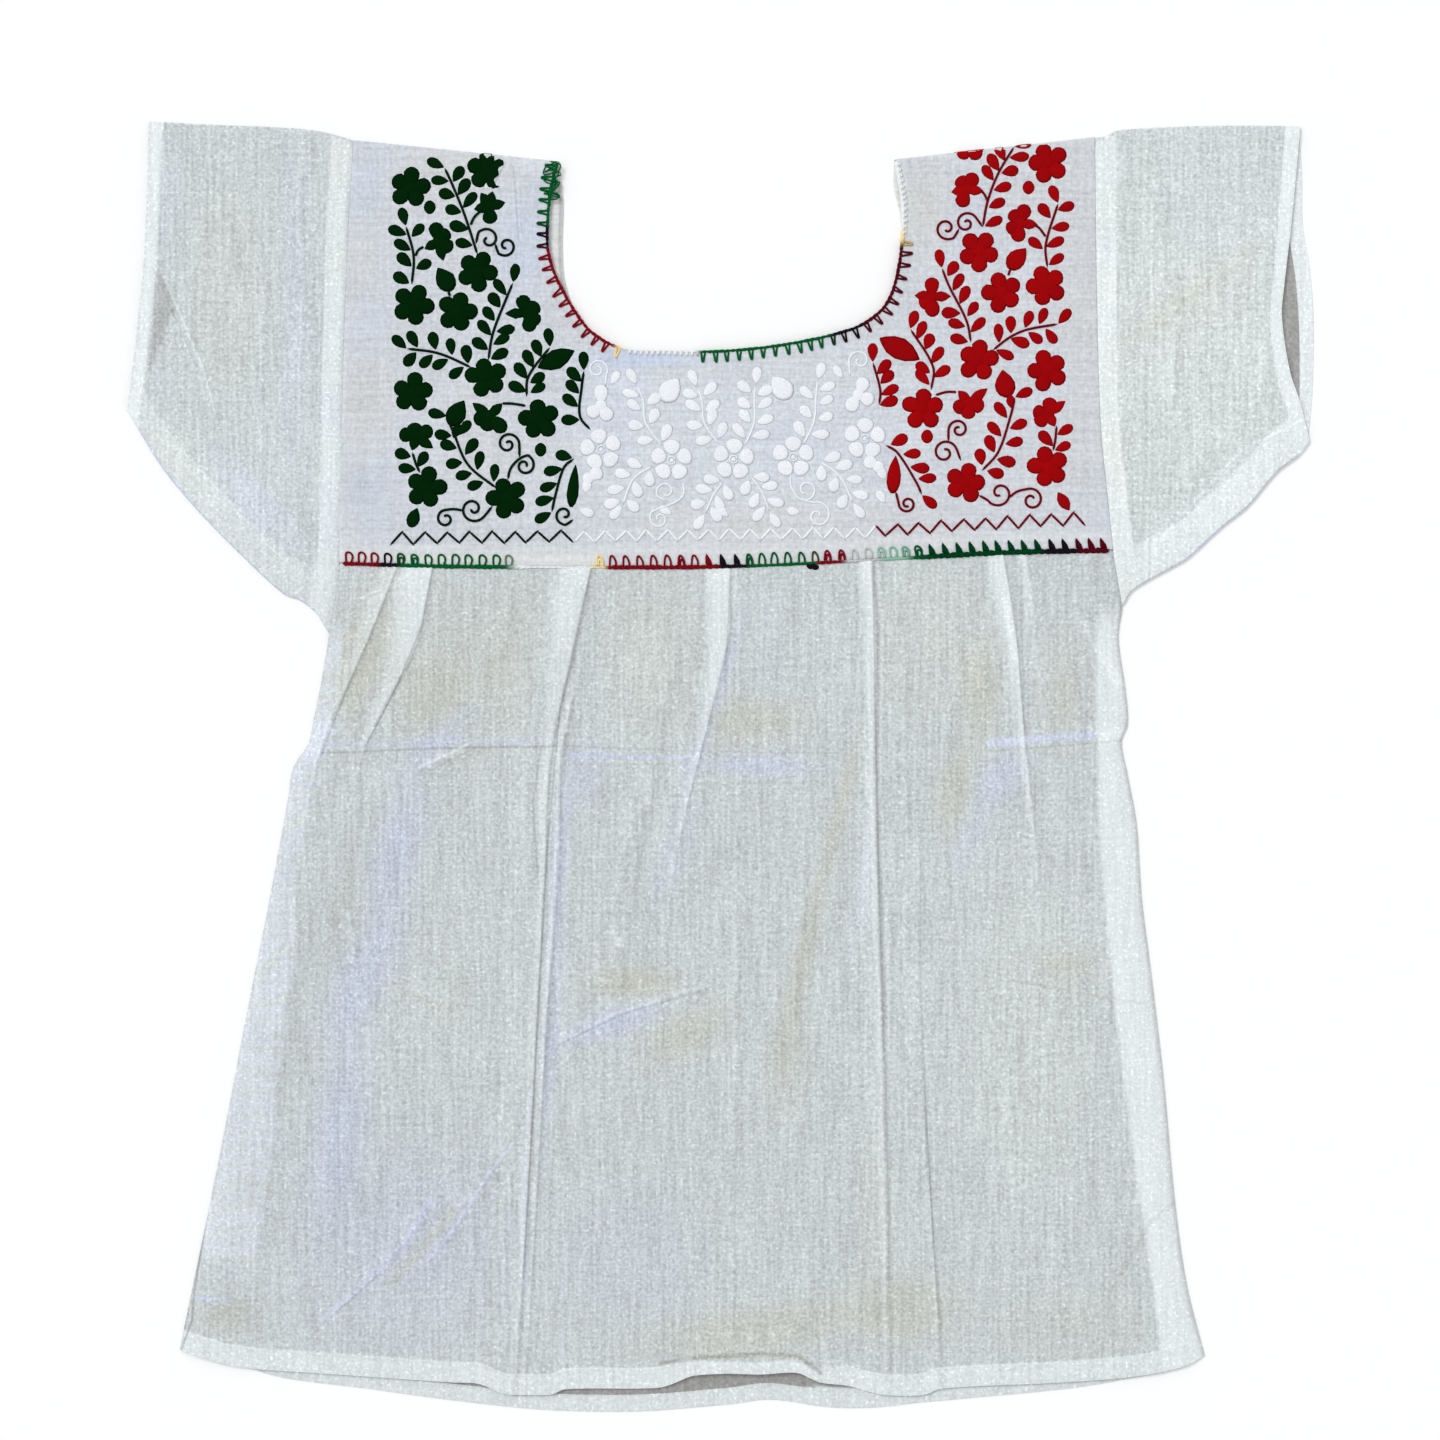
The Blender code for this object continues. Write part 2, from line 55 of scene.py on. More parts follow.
# The seams and edges of the flat blouse, in mm from the middle of its outline, as (x, y)
outline = {
    "rightYokeEdge": [(-209.1, 356.0), (-212.5, 295.0), (-215.4, 209.5), (-217.1, 116.6)],
    "leftYokeEdge": [(212.7, 357.7), (213.8, 266.5), (216.1, 192.4), (220.1, 152.5), (223.0, 124.0)],
    "yokeSeam": [(-217.1, 116.6), (-160.1, 114.9), (-68.9, 114.3), (8.6, 114.9), (85.0, 118.4),
                 (159.1, 122.6), (223.0, 124.0)],
    "neckFront": [(-93.0, 344.0), (-96.8, 329.2), (-98.8, 299.5), (-96.2, 285.3), (-90.5, 272.2),
                  (-80.9, 256.2), (-72.3, 246.5), (-56.3, 238.4), (-27.3, 236.8), (1.8, 236.8),
                  (39.4, 241.0), (74.8, 249.4), (89.0, 257.9), (96.4, 267.6), (101.6, 287.0),
                  (103.8, 313.8), (102.1, 331.5), (99.5, 345.0)],
    "neckBack": [(-91.5, 344.0), (-89.8, 321.2), (-90.3, 295.0), (-88.3, 275.0), (-79.1, 253.9),
                 (-63.2, 239.6), (-27.3, 236.0), (1.8, 236.0), (39.4, 240.0), (74.8, 248.2),
                 (89.6, 257.4), (97.6, 268.2), (102.3, 290.0), (102.1, 314.9), (98.6, 330.0),
                 (98.6, 345.0)],
    "rightSleeveTop": [(-209.1, 356.0), (-228.5, 361.1), (-254.1, 363.4), (-288.3, 364.8), (-325.4, 366.8)],
    "rightCuff": [(-325.4, 366.8), (-327.9, 295.5), (-332.2, 249.4), (-337.5, 203.8)],
    "rightUnderarm": [(-222.8, 77.2), (-229.6, 88.6), (-239.9, 96.6), (-248.0, 99.5), (-271.2, 120.6),
                      (-296.9, 146.8), (-316.8, 170.7), (-331.1, 193.5), (-337.5, 203.8)],
    "leftSleeveTop": [(212.7, 357.7), (218.6, 358.0), (225.8, 361.4), (244.0, 362.8), (277.7, 364.1),
                      (329.5, 364.1)],
    "leftCuffFront": [(329.5, 364.1), (324.4, 309.8), (319.9, 272.2), (318.7, 256.2), (323.3, 226.0),
                      (329.0, 208.9), (334.7, 186.5)],
    "leftCuffBack": [(329.5, 364.1), (331.0, 337.2), (331.4, 309.8), (335.6, 282.4), (337.5, 256.2),
                     (337.0, 216.9), (334.7, 186.5)],
    "leftUnderarm": [(228.1, 92.6), (232.5, 100.5), (241.8, 106.9), (256.6, 114.9), (265.1, 120.0),
                     (283.9, 137.1), (298.8, 149.1), (315.9, 169.0), (328.4, 178.7), (334.7, 186.5)],
    "rightSide": [(-217.1, 116.6), (-222.8, 77.2), (-227.3, 49.9), (-232.5, 24.0), (-235.0, 13.0),
                  (-243.5, 0.0), (-246.5, -18.5), (-257.0, -75.5), (-269.5, -138.2), (-282.6, -206.6),
                  (-294.0, -263.6), (-308.3, -332.0)],
    "leftSide": [(223.0, 124.0), (228.1, 92.6), (226.2, 74.0), (230.5, 42.0), (231.5, 24.0),
                 (228.0, 15.0), (231.5, -4.3), (236.6, -32.8), (239.5, -75.0), (244.6, -115.4),
                 (252.0, -178.1), (258.3, -246.5), (265.1, -294.4), (275.4, -334.9)],
    "frontHem": [(-308.3, -332.0), (-276.4, -340.6), (-226.2, -344.6), (-152.7, -349.7), (-137.3, -350.5),
                 (-124.2, -355.6), (-117.0, -356.5), (-96.0, -356.5), (-89.0, -353.6), (-46.0, -353.1),
                 (-33.0, -352.3), (-24.4, -349.2), (-15.3, -345.4), (2.4, -343.9), (22.3, -344.3),
                 (43.4, -343.4), (51.4, -346.9), (57.7, -349.4), (73.6, -351.9), (86.0, -355.4),
                 (102.0, -357.3), (116.4, -356.5), (125.0, -353.2), (193.3, -349.7), (236.1, -346.3),
                 (261.7, -341.1), (275.4, -334.9)],
    "backHem": [(-308.3, -332.0), (-269.5, -342.3), (-247.9, -348.0), (-202.8, -353.7), (-152.7, -360.5),
                (-102.5, -365.7), (-48.9, -366.8), (4.1, -362.8), (28.0, -360.0), (62.2, -364.5),
                (87.9, -364.5), (113.5, -361.7), (193.3, -354.3), (227.5, -349.1), (261.7, -342.3),
                (275.4, -334.9)],
}
outline["rightArmhole"] = outline["rightYokeEdge"] + [(-222.8, 77.2)]
outline["leftArmhole"] = outline["leftYokeEdge"] + [(228.1, 92.6)]


# Curves and grids

def mix(start, end, share):
    return start + (end - start) * share


def ease(share):
    share = np.clip(share, 0.0, 1.0)
    return share * share * (3 - 2 * share)


class Line:      # a smooth line through a table of points in mm, kept in metres
    def __init__(self, table, shift=(0.0, 0.0), steps=10):
        knots = np.array(table, dtype=float) * mm + np.array(shift)
        ahead = np.vstack([knots[1:], knots[-1:]])
        behind = np.vstack([knots[:1], knots[:-1]])
        ways = ahead - behind
        ways /= np.linalg.norm(ways, axis=1)[:, None]
        t = np.linspace(0, 1, steps + 1)[1:, None]
        spots = [knots[:1]]
        for start, end, leave, arrive in zip(knots, knots[1:], ways, ways[1:]):
            reach = np.linalg.norm(end - start) / 3
            near, far = start + leave * reach, end - arrive * reach
            firstHalf = start * (1 - t) ** 3 + near * 3 * t * (1 - t) ** 2
            spots.append(firstHalf + far * 3 * t * t * (1 - t) + end * t ** 3)
        self.points = np.vstack(spots)
        runs = np.linalg.norm(np.diff(self.points, axis=0), axis=1)
        self.lengths = np.concatenate([[0.0], np.cumsum(runs)])
        self.length = self.lengths[-1]

    def at(self, share):     # points at shares of the length
        target = np.asarray(share, dtype=float) * self.length
        return np.stack([np.interp(target, self.lengths, self.points[:, axis]) for axis in (0, 1)], axis=-1)

    def xAt(self, y):        # on a line that runs downwards
        return np.interp(-np.asarray(y), -self.points[:, 1], self.points[:, 0])

    def yAt(self, x):        # on a line that runs across
        return np.interp(x, self.points[:, 0], self.points[:, 1])


def distanceTo(x, y, table):     # from every point to a chain of straight runs in mm, in metres
    best = np.full(np.shape(x), 1.0)
    for (x1, y1), (x2, y2) in zip(table, table[1:]):
        startX, startY = x1 * mm, y1 * mm
        runX, runY = (x2 - x1) * mm, (y2 - y1) * mm
        share = np.clip(((x - startX) * runX + (y - startY) * runY) / (runX ** 2 + runY ** 2), 0, 1)
        best = np.minimum(best, np.hypot(x - startX - runX * share, y - startY - runY * share))
    return best


def creaseRelief(x, y, creases):     # the strongest crease counts where several meet
    relief = np.zeros(np.shape(x))
    for x1, y1, x2, y2, rise, spread in creases:
        away = distanceTo(x, y, [(x1, y1), (x2, y2)]) / (spread * mm)
        height = rise * mm * ease(1 - away)
        relief = np.where(np.abs(height) > np.abs(relief), height, relief)
    return relief


def ripple(x, y, wave, stretch, seed):     # smooth wandering from -1 to 1, a wave in metres long
    flatX, flatY = np.ravel(x) / (wave * stretch[0]), np.ravel(y) / (wave * stretch[1])
    values = [noise.noise(Vector((a, b, seed))) for a, b in zip(flatX, flatY)]
    return np.array(values).reshape(np.shape(x))


def placed(name, bm, material):     # a finished bmesh as an object in the scene
    mesh = bpy.data.meshes.new(name)
    bm.to_mesh(mesh)
    bm.free()
    mesh.materials.append(material)
    mesh.shade_smooth()
    made = bpy.data.objects.new(name, mesh)
    bpy.context.scene.collection.objects.link(made)
    return made


def stackRows(rows):     # rows of x, y, z and shades as the two arrays that a sheet is made from
    spots = [np.stack([x, y, z], axis=-1) for x, y, z, shade in rows]
    return np.array(spots), np.array([shade for x, y, z, shade in rows])


def sheetPiece(name, spots, shades, thickness, material):
    # spots is rows by columns by xyz, shades the same by four masks kept as a colour attribute
    rows, columns = spots.shape[0] - 1, spots.shape[1] - 1
    bm = bmesh.new()
    bmesh.ops.create_grid(bm, x_segments=columns, y_segments=rows, size=0.5)
    layer = bm.verts.layers.float_color.new("shade")
    for vert in bm.verts:
        column, row = round((vert.co.x + 0.5) * columns), round((vert.co.y + 0.5) * rows)
        vert[layer] = shades[row, column]
        vert.co = spots[row, column]
    bmesh.ops.remove_doubles(bm, verts=bm.verts, dist=mm / 1000)
    bmesh.ops.recalc_face_normals(bm, faces=bm.faces)
    piece = placed(name, bm, material)
    wall = piece.modifiers.new("Wall", "SOLIDIFY")
    wall.thickness = thickness
    wall.offset = 0
    return piece


def dress(piece, node):     # every piece rides on the one body, and cloth takes a CAD node's place
    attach(piece, "root")
    if node:
        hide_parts(node)


def shadeMap(x, band, dark, tint, level):     # extra layers, one layer of cloth and painted shade inside the blouse, blue or beige, painted light and shade
    return np.stack(np.broadcast_arrays(band, dark, tint, level, x)[:4], axis=-1).astype(float)


def wash(x, y, table):     # soft patches of tint and of painted light and shade added up; sizes in mm, turned anticlockwise
    tint, level = np.zeros(np.shape(x)), np.zeros(np.shape(x))
    for middleX, middleY, halfWidth, halfHeight, turn, tintGain, levelGain in table:
        cosine, sine = math.cos(math.radians(turn)), math.sin(math.radians(turn))
        offX, offY = x / mm - middleX, y / mm - middleY
        along, aside = (offX * cosine + offY * sine) / halfWidth, (offY * cosine - offX * sine) / halfHeight
        share = np.exp(-(along ** 2 + aside ** 2) ** 1.4)
        tint += tintGain * share
        level += levelGain * share
    return tint, level


# Shader maths as expressions

class Value:
    def __init__(self, shader, socket):
        self.shader, self.socket = shader, socket

    def maths(self, operation, first, second):
        return self.shader.node("Math", {"operation": operation}, {0: first, 1: second})

    def __add__(self, other):
        return self.maths("ADD", self, other)

    __radd__ = __add__

    def __sub__(self, other):
        return self.maths("SUBTRACT", self, other)

    def __rsub__(self, other):
        return self.maths("SUBTRACT", other, self)

    def __mul__(self, other):
        return self.maths("MULTIPLY", self, other)

    __rmul__ = __mul__

    def over(self, limit):
        return self.maths("MAXIMUM", self, limit)

    def under(self, limit):
        return self.maths("MINIMUM", self, limit)

    def wave(self):
        return self.maths("SINE", self, 0.0)

    def ramp(self, low, high):     # 0 below low, 1 above high, soft between
        return self.shader.node("MapRange", {"interpolation_type": "SMOOTHSTEP"},
                                {"Value": self, "From Min": low, "From Max": high})


class Shader:
    def __init__(self, name):
        self.material = bpy.data.materials.new(name)
        self.material.use_nodes = True
        self.tree = self.material.node_tree
        self.surface = self.tree.nodes["Principled BSDF"]

    def feed(self, socket, value):     # a link or a plain value
        if isinstance(value, Value):
            self.tree.links.new(value.socket, socket)
        else:
            socket.default_value = value

    def node(self, kind, settings=None, inputs=None, output=0):
        made = self.tree.nodes.new("ShaderNode" + kind)
        for key, value in (settings or {}).items():
            setattr(made, key, value)
        for key, value in (inputs or {}).items():
            self.feed(made.inputs[key], value)
        return Value(self, made.outputs[output])

    def place(self, scale):     # object coordinates, stretched: scale is cycles for each metre on each axis
        spot = self.node("TexCoord", output="Object")
        return self.node("VectorMath", {"operation": "MULTIPLY"}, {0: spot, 1: scale})

    def grain(self, scale, detail, shift=0.0):     # noise; the shift keeps one grain apart from another
        where = self.place(scale)
        if shift:
            where = self.node("VectorMath", {"operation": "ADD"}, {0: where, 1: (shift, shift, shift)})
        return self.node("TexNoise", None, {"Vector": where, "Scale": 1.0, "Detail": detail})

    def blend(self, share, first, second, how="MIX"):
        made = self.tree.nodes.new("ShaderNodeMix")
        made.data_type, made.blend_type = "RGBA", how
        for index, value in ((0, share), (6, first), (7, second)):     # the factor and the two colour sockets
            self.feed(made.inputs[index], value)
        return Value(self, made.outputs[2])

    def lit(self, colour, light):     # a colour times one lightness
        grey = self.node("CombineColor", None, {0: light, 1: light, 2: light})
        return self.blend(1.0, colour, grey, "MULTIPLY")

    def away(self, spot, start, end):     # distance in metres from a straight run in mm
        origin = Vector((*start, 0)) * mm
        run = Vector((*end, 0)) * mm - origin
        ahead = self.node("VectorMath", {"operation": "SUBTRACT"}, {0: spot, 1: origin})
        along = {0: ahead, 1: run / run.length_squared}
        share = self.node("VectorMath", {"operation": "DOT_PRODUCT"}, along, "Value").over(0.0).under(1.0)
        nearest = self.node("VectorMath", {"operation": "SCALE"}, {0: run, "Scale": share})
        return self.node("VectorMath", {"operation": "DISTANCE"}, {0: ahead, 1: nearest}, "Value")

    def crease(self, spot, path, width):     # 1 on a chain of straight runs, 0 from a width in mm away
        least = self.away(spot, path[0], path[1])
        for start, end in zip(path[1:], path[2:]):
            least = least.under(self.away(spot, start, end))
        return least.ramp(width * mm, 0.0)

    def masks(self, name):     # the three channels of a colour attribute, and its fourth
        kept = self.tree.nodes.new("ShaderNodeAttribute")
        kept.attribute_name = name
        parts = self.tree.nodes.new("ShaderNodeSeparateColor")
        self.tree.links.new(kept.outputs["Color"], parts.inputs[0])
        return [Value(self, parts.outputs[i]) for i in range(3)] + [Value(self, kept.outputs["Alpha"])]

    def finish(self, colour, facts, height):
        bump = {"Height": height, "Strength": facts["bump"], "Distance": facts["bumpReach"]}
        for name, value in (("Base Color", colour), ("Roughness", facts["roughness"]),
                            ("Specular IOR Level", facts["gloss"]),
                            ("Normal", self.node("Bump", None, bump))):
            self.feed(self.surface.inputs[name], value)
        return self.material


def linear(part):     # one screen value of 0 to 255 as linear light
    return ((part / 255 + 0.055) / 1.055) ** 2.4 if part > 10 else part / 255 / 12.92


def srgb(red, green, blue):
    return (linear(red), linear(green), linear(blue), 1.0)


# Cloth finishes

# the darker colour stands for one layer of cloth and for painted shade on the inside of the blouse, where it
# shows under the front
muslin = {
    "plain": srgb(197, 203, 203), "band": srgb(226, 232, 232), "singleLayerAndShade": srgb(156, 155, 152),
    "blue": srgb(195, 201, 218), "beige": srgb(197, 199, 187),
    "across": 720.0, "along": 460.0,     # cycles for each metre, across a thread and along it
    "slub": 0.46, "slubAcross": 0.18, "speck": 0.24, "contrast": 0.76,     # how much each shows
    "roughness": 0.88, "gloss": 0.2, "bump": 0.5, "bumpReach": mm,
}
# the darker colour is painted shade on the inside of the yoke's back, seen through the neck
yokeWeave = {
    "plain": srgb(205, 209, 214), "band": srgb(224, 227, 226), "singleLayerAndShade": srgb(214, 216, 216),
    "blue": srgb(197, 206, 226), "beige": srgb(209, 208, 202),
    "across": 700.0, "along": 330.0,
    "slub": 0.30, "slubAcross": 0.45, "speck": 0.08, "contrast": 0.50,
    "roughness": 0.8, "gloss": 0.2, "bump": 0.5, "bumpReach": mm,
}
cloth = {     # what both cloths share; sizes are shares of a thread's own cycles, across it and along it
    "slubSize": (0.75, 0.06), "slubAcrossSize": (0.7, 0.08),
    "speckSize": (0.9, 1.3), "speckRange": (0.64, 0.78),
    "columns": (130.0, 9.0, 20.0), "columnLight": 0.03,     # long faint stripes down the cloth
    "weaveHeight": 0.10, "bandCalm": 0.55,                  # the weave shows less where layers lie together
    # turnedOver: how sharply the painted shade inside the blouse is kept to the faces that look up
    "turnedOver": 0.05, "sheen": 0.15, "sheenRoughness": 0.6,
}
# Creases too fine for the mesh, drawn as painted highlights and painted shade lines with a little bump: path
# in mm, reach in mm, how much lighter (darker below 0, as painted shade), blue or beige, height in mm
bodyCreases = [
    ([(-173, -1), (-142, 14)], 1.7, 0.26, 0, 0.5), ([(-170, -4), (-140, 11)], 1.1, -0.14, 0, 0),
    ([(-227, 8), (-155, 11), (-92, 12)], 1.3, -0.22, 0, -0.2),
    ([(-226, 13), (-155, 15), (-95, 15)], 4, 0.02, 0.5, 0),
    ([(-92, 12), (-12, 9), (66, 8)], 1.2, -0.10, 0, -0.15), ([(-88, 7), (-20, 5)], 3, 0.02, 0.8, 0),
    ([(154, 14), (229, 20)], 4.5, 0.10, 1.0, 0), ([(152, 9), (229, 15)], 1.1, -0.11, -0.3, -0.2),
    ([(-92, -158), (-58, -141), (-8, -126)], 1.2, -0.17, 0.2, -0.2),
    ([(-92, -156), (-58, -139), (-9, -124)], 1.8, 0.09, 0, 0.3),
    ([(-118, -214), (-132, -231), (-143, -249), (-153, -264), (-166, -280)], 1.9, 0.10, 0.6, 0.4),
    ([(-165, -246), (-177, -267), (-190, -282), (-208, -298), (-226, -315)], 3.2, 0.06, 0.55, 0.4),
    ([(-152, -252), (-170, -273), (-188, -294)], 5.0, -0.04, -0.6, 0),
    ([(-196, -290), (-214, -306), (-231, -321)], 1.2, -0.10, -0.2, -0.2),
    # beside the second pleat
    ([(-108.5, -185), (-111, -218), (-112.5, -262), (-112, -296)], 2.2, 0.07, 0.5, 0.2),
    ([(-120, -212), (-127, -258), (-131, -300), (-132, -340)], 3.6, -0.06, -0.2, 0),
    ([(-134, -262), (-138, -300), (-139, -340)], 2.0, 0.06, 0, 0.2),
    ([(-89, -268), (-90, -340)], 1.7, 0.06, 0.2, 0.2),
    ([(165, -121), (245, -135)], 1.7, -0.06, -0.5, 0),
    ([(222, -298), (245, -258), (260, -247)], 2.4, -0.09, -0.4, -0.2),
    ([(-92, -212), (-69, -258), (-12, -298)], 1.7, -0.05, 0, -0.15),
    ([(-184, -125), (-147, -141)], 1.5, -0.06, -0.7, 0),
    # painted shadow under the cloth that hangs over the hem
    ([(-34, -339), (-10, -335), (22, -333), (44, -334), (57, -344)], 2.2, -0.30, -0.6, -0.3),
    # painted shadow on the back where it shows past the front's edge
    ([(-291, -240), (-299, -293), (-301, -315), (-307, -331)], 1.4, -0.34, 0, -0.3),
    ([(-296, -262), (-304, -300), (-306, -318)], 4.5, -0.13, -0.2, 0),
    ([(-281, -303), (-298, -302)], 3.0, 0.08, 0.9, 0.2),
    ([(-102, 12), (-106.5, -20), (-104, -62)], 1.1, -0.20, 0, -0.2),
    ([(99, 113), (100, 70)], 0.9, 0.16, 0, 0.2), ([(47, 112), (47, 60), (46, -10)], 1.0, 0.10, 0, 0.2),
    ([(8, 113), (9, 78)], 3.2, 0.14, 0, 0.2), ([(-205, 96), (-178, 108)], 1.0, 0.12, 0, 0.2),
    ([(205, 84), (226, 48)], 5.0, 0.10, 0, 0.3), ([(161, 95), (168, 60)], 3.0, 0.12, 0, 0.3),
]
# The sleeves' creases, as for the body: painted highlights and painted shade lines
sleeveCreases = [
    ([(-320, 285), (-309, 262), (-294, 227), (-288, 203)], 1.4, 0.20, 0, 0.5),
    ([(-323, 284), (-312, 260), (-297, 225)], 1.0, -0.12, 0, 0),
    ([(-262, 300), (-261, 181)], 1.6, 0.08, 0.2, 0.2),
    ([(-335, 198), (-316, 168), (-296, 144), (-271, 118), (-250, 98)], 2.4, -0.08, 1.0, 0),
    ([(-250, 98), (-239, 94), (-230, 86)], 3.0, 0.04, 1.0, 0),
    ([(284, 134), (257, 112), (242, 104)], 3.5, 0.05, 1.0, 0),
    ([(-264, 132), (-237, 108)], 1.2, 0.12, 0, 0.2), ([(-292, 346), (-293, 249)], 1.2, -0.05, 0, 0),
    ([(304, 295), (233, 243)], 6, 0, -0.2, 0.1), ([(245, 335), (246, 198)], 1.6, 0.07, 0, 0.2),
    ([(308, 244), (306, 208)], 1.3, 0.12, 0, 0.3),
    ([(334, 199), (296, 180), (250, 130)], 1.6, 0.11, 0.2, 0.2),
    ([(269, 346), (273, 209)], 1.2, -0.05, 0, 0),
]
# The yoke's creases, as for the body: painted highlights and painted shade lines
yokeCreases = [
    ([(-122.5, 344), (-129, 331)], 1.1, -0.28, 0, -0.3),
    ([(-118, 342), (-116.5, 325), (-115, 300)], 0.9, -0.18, 0, -0.2),
    ([(-115.5, 340), (-113.5, 300)], 0.9, 0.06, 0, 0.2),
    ([(-214, 335), (-203, 322), (-191, 309)], 1.3, -0.06, -0.2, -0.2),
    ([(105, 338), (128, 301)], 1.0, -0.08, 0, -0.2),
    ([(-214, 120), (-70, 118)], 3.5, 0.05, -0.8, 0),
]


def makeMuslin(name, facts, creases):
    shader = Shader(name)
    band, dark, tint, paintedLight = shader.masks("shade")
    fine, run = facts["across"], facts["along"]
    (slubFine, slubRun), (acrossFine, acrossRun) = cloth["slubSize"], cloth["slubAcrossSize"]
    speckFine, speckRun = cloth["speckSize"]
    warp = shader.grain((fine, run, run), 0.0)
    weft = shader.grain((run, fine, run), 0.0, shift=17.0)
    slubDown = shader.grain((fine * slubFine, run * slubRun, run), 0.0, shift=31.0)
    slubAcross = shader.grain((run * acrossRun, fine * acrossFine, run), 0.0, shift=47.0)
    speck = shader.grain((fine * speckFine, run * speckRun, run), 0.0, shift=83.0)
    column = shader.grain(cloth["columns"], 1.0, shift=5.0)
    weave = (warp - 0.5) * 0.5 + (weft - 0.5) * 0.5
    weave = weave + (slubDown - 0.5) * facts["slub"] + (slubAcross - 0.5) * facts["slubAcross"]
    flat = shader.place((1.0, 1.0, 0.0))
    # the fourth channel is painted light and shade from the folds and the soft patches
    lightness, height = paintedLight + (column - 0.5) * cloth["columnLight"], weave * cloth["weaveHeight"]
    # painted highlights and painted shade lines along the creases
    for path, width, light, blue, rise in creases:
        mask = shader.crease(flat, path, width)
        lightness = lightness + mask * light
        if blue:
            tint = tint + mask * blue
        if rise:
            height = height + mask * rise
    colour = shader.blend(tint.over(0.0).under(1.0), facts["plain"], facts["blue"])
    colour = shader.blend((tint * -1.0).over(0.0).under(1.0), colour, facts["beige"])
    colour = shader.blend(band, colour, facts["band"])
    # painted shade on the inside of the blouse, and one layer of cloth, darken only the faces that look up
    facing = shader.node("SeparateXYZ", None, {0: shader.node("NewGeometry", output="Normal")}, output="Z")
    upward = facing.ramp(-cloth["turnedOver"], cloth["turnedOver"])
    colour = shader.blend(dark * upward, colour, facts["singleLayerAndShade"])
    threads = weave * (1.0 - band * cloth["bandCalm"]) * facts["contrast"]
    threads = threads + speck.ramp(*cloth["speckRange"]) * facts["speck"] + 1.0
    colour = shader.lit(colour, (threads * (lightness + 1.0)).over(0.0))
    shader.surface.inputs["Sheen Weight"].default_value = cloth["sheen"]
    shader.surface.inputs["Sheen Roughness"].default_value = cloth["sheenRoughness"]
    return shader.finish(colour, facts, height)


sleeveCotton = makeMuslin("sleeveCotton", muslin, sleeveCreases)
yokeCotton = makeMuslin("yokeCotton", yokeWeave, yokeCreases)


# Body of the blouse: a front with pleats and a plain back, each a panel between the two side seams

levels = (0.0, 0.10, 0.23, 0.36, 0.53, 0.75, 1.0)     # shares of the way from the yoke seam to the hem
folds = [
    # crest: its x at each level; rise: its height there; climb and drop: widths on both sides, all in mm
    # light, dark, beyond: how much lighter the cloth is painted at the crest, in the drop and after it, as
    # painted highlights, and as painted shade below 0
    # layers: how much it counts as doubled
    {"crest": (-184, -202, -227, -240, -256, -275, -294), "rise": (0.9, 1.5, 1.3, 0, 0, 0, 0),
     "climb": 9, "drop": 1.4, "light": 0.22, "dark": -0.10, "layers": 0.5},
    {"crest": (-164, -174, -203, -214, -229, -246, -264), "rise": (1.6, 2.0, 0.7, 0, 0, 0, 0),
     "climb": 22, "drop": 1.2, "light": 0.12, "dark": -0.12, "layers": 0.85},
    {"crest": (-74, -84, -97, -100, -104.5, -110, -117), "rise": (1.8, 2.5, 1.9, 1.5, 1.4, 1.3, 0.8),
     "climb": 23, "drop": 1.3, "light": 0.12, "dark": -0.20, "layers": 0.75},
    {"crest": (-68, -78, -91, -93, -99, -105, -112), "rise": (0, 0.2, 1.1, 1.4, 1.0, 0.8, 0.3),
     "climb": 3.2, "drop": 1.8, "light": 0.14, "dark": -0.16, "layers": 0.4},
    {"crest": (-22, -28, -37, -50, -60, -69, -75), "rise": (0, 0.2, 0.7, 0.8, 0.5, 0.3, 0),
     "climb": 12, "drop": 6, "light": 0.08, "dark": -0.08},
    {"crest": (5, 3, -12, -26, -34, -40, -45), "rise": (1.8, 2.0, 1.2, 0.7, 0.2, 0, 0),
     "climb": 16, "drop": 1.3, "light": 0.12, "dark": -0.08, "layers": 0.9},
    {"crest": (13, 13, 10, 9.5, 9, 8, 7), "rise": (0, 0, 0.3, 0.5, 0.6, 0.5, 0),
     "climb": 2.5, "drop": 2.5, "light": 0.10, "dark": -0.04},
    {"crest": (45, 46, 46, 45, 44, 43, 42), "rise": (0, 0.2, 0.3, 0.5, 0.3, 0, 0),
     "climb": 4, "drop": 4, "light": 0.07, "dark": 0},
    {"crest": (85, 87, 86.5, 88, 90.5, 93, 95), "rise": (1.8, 2.2, 1.3, 1.4, 1.4, 1.2, 0.6),
     "climb": 8, "drop": 2.6, "light": 0.12, "dark": -0.24, "beyond": 0.12, "layers": 0.9},
    {"crest": (107, 106, 104, 106, 108, 112, 117), "rise": (0, 0.3, 0.7, 0.8, 0.6, 0.4, 0),
     "climb": 6, "drop": 2.5, "light": 0.14, "dark": -0.06},
    {"crest": (118, 118, 116, 113, 113, 118, 126), "rise": (0, 0, 0.1, 0.5, 0.9, 1.2, 0.6),
     "climb": 4, "drop": 1.2, "light": 0.06, "dark": -0.20},
    {"crest": (160, 167.5, 172.5, 179, 183, 188, 193), "rise": (1.7, 2.2, 1.6, 0.7, 0.2, 0, 0),
     "climb": 11, "drop": 1.3, "light": 0.16, "dark": -0.08, "layers": 0.9},
    {"crest": (173, 179, 184, 190, 196, 202, 208), "rise": (1.2, 0.8, 0, 0, 0, 0, 0),
     "climb": 5, "drop": 2, "light": 0.12, "dark": -0.05, "layers": 0.6},
    {"crest": (212, 213, 213, 215, 222, 235, 251), "rise": (0.8, 0.8, 0.6, 0.6, 0.5, 0.5, 0.2),
     "climb": 6, "drop": 3, "light": 0.03, "dark": 0.03},
]
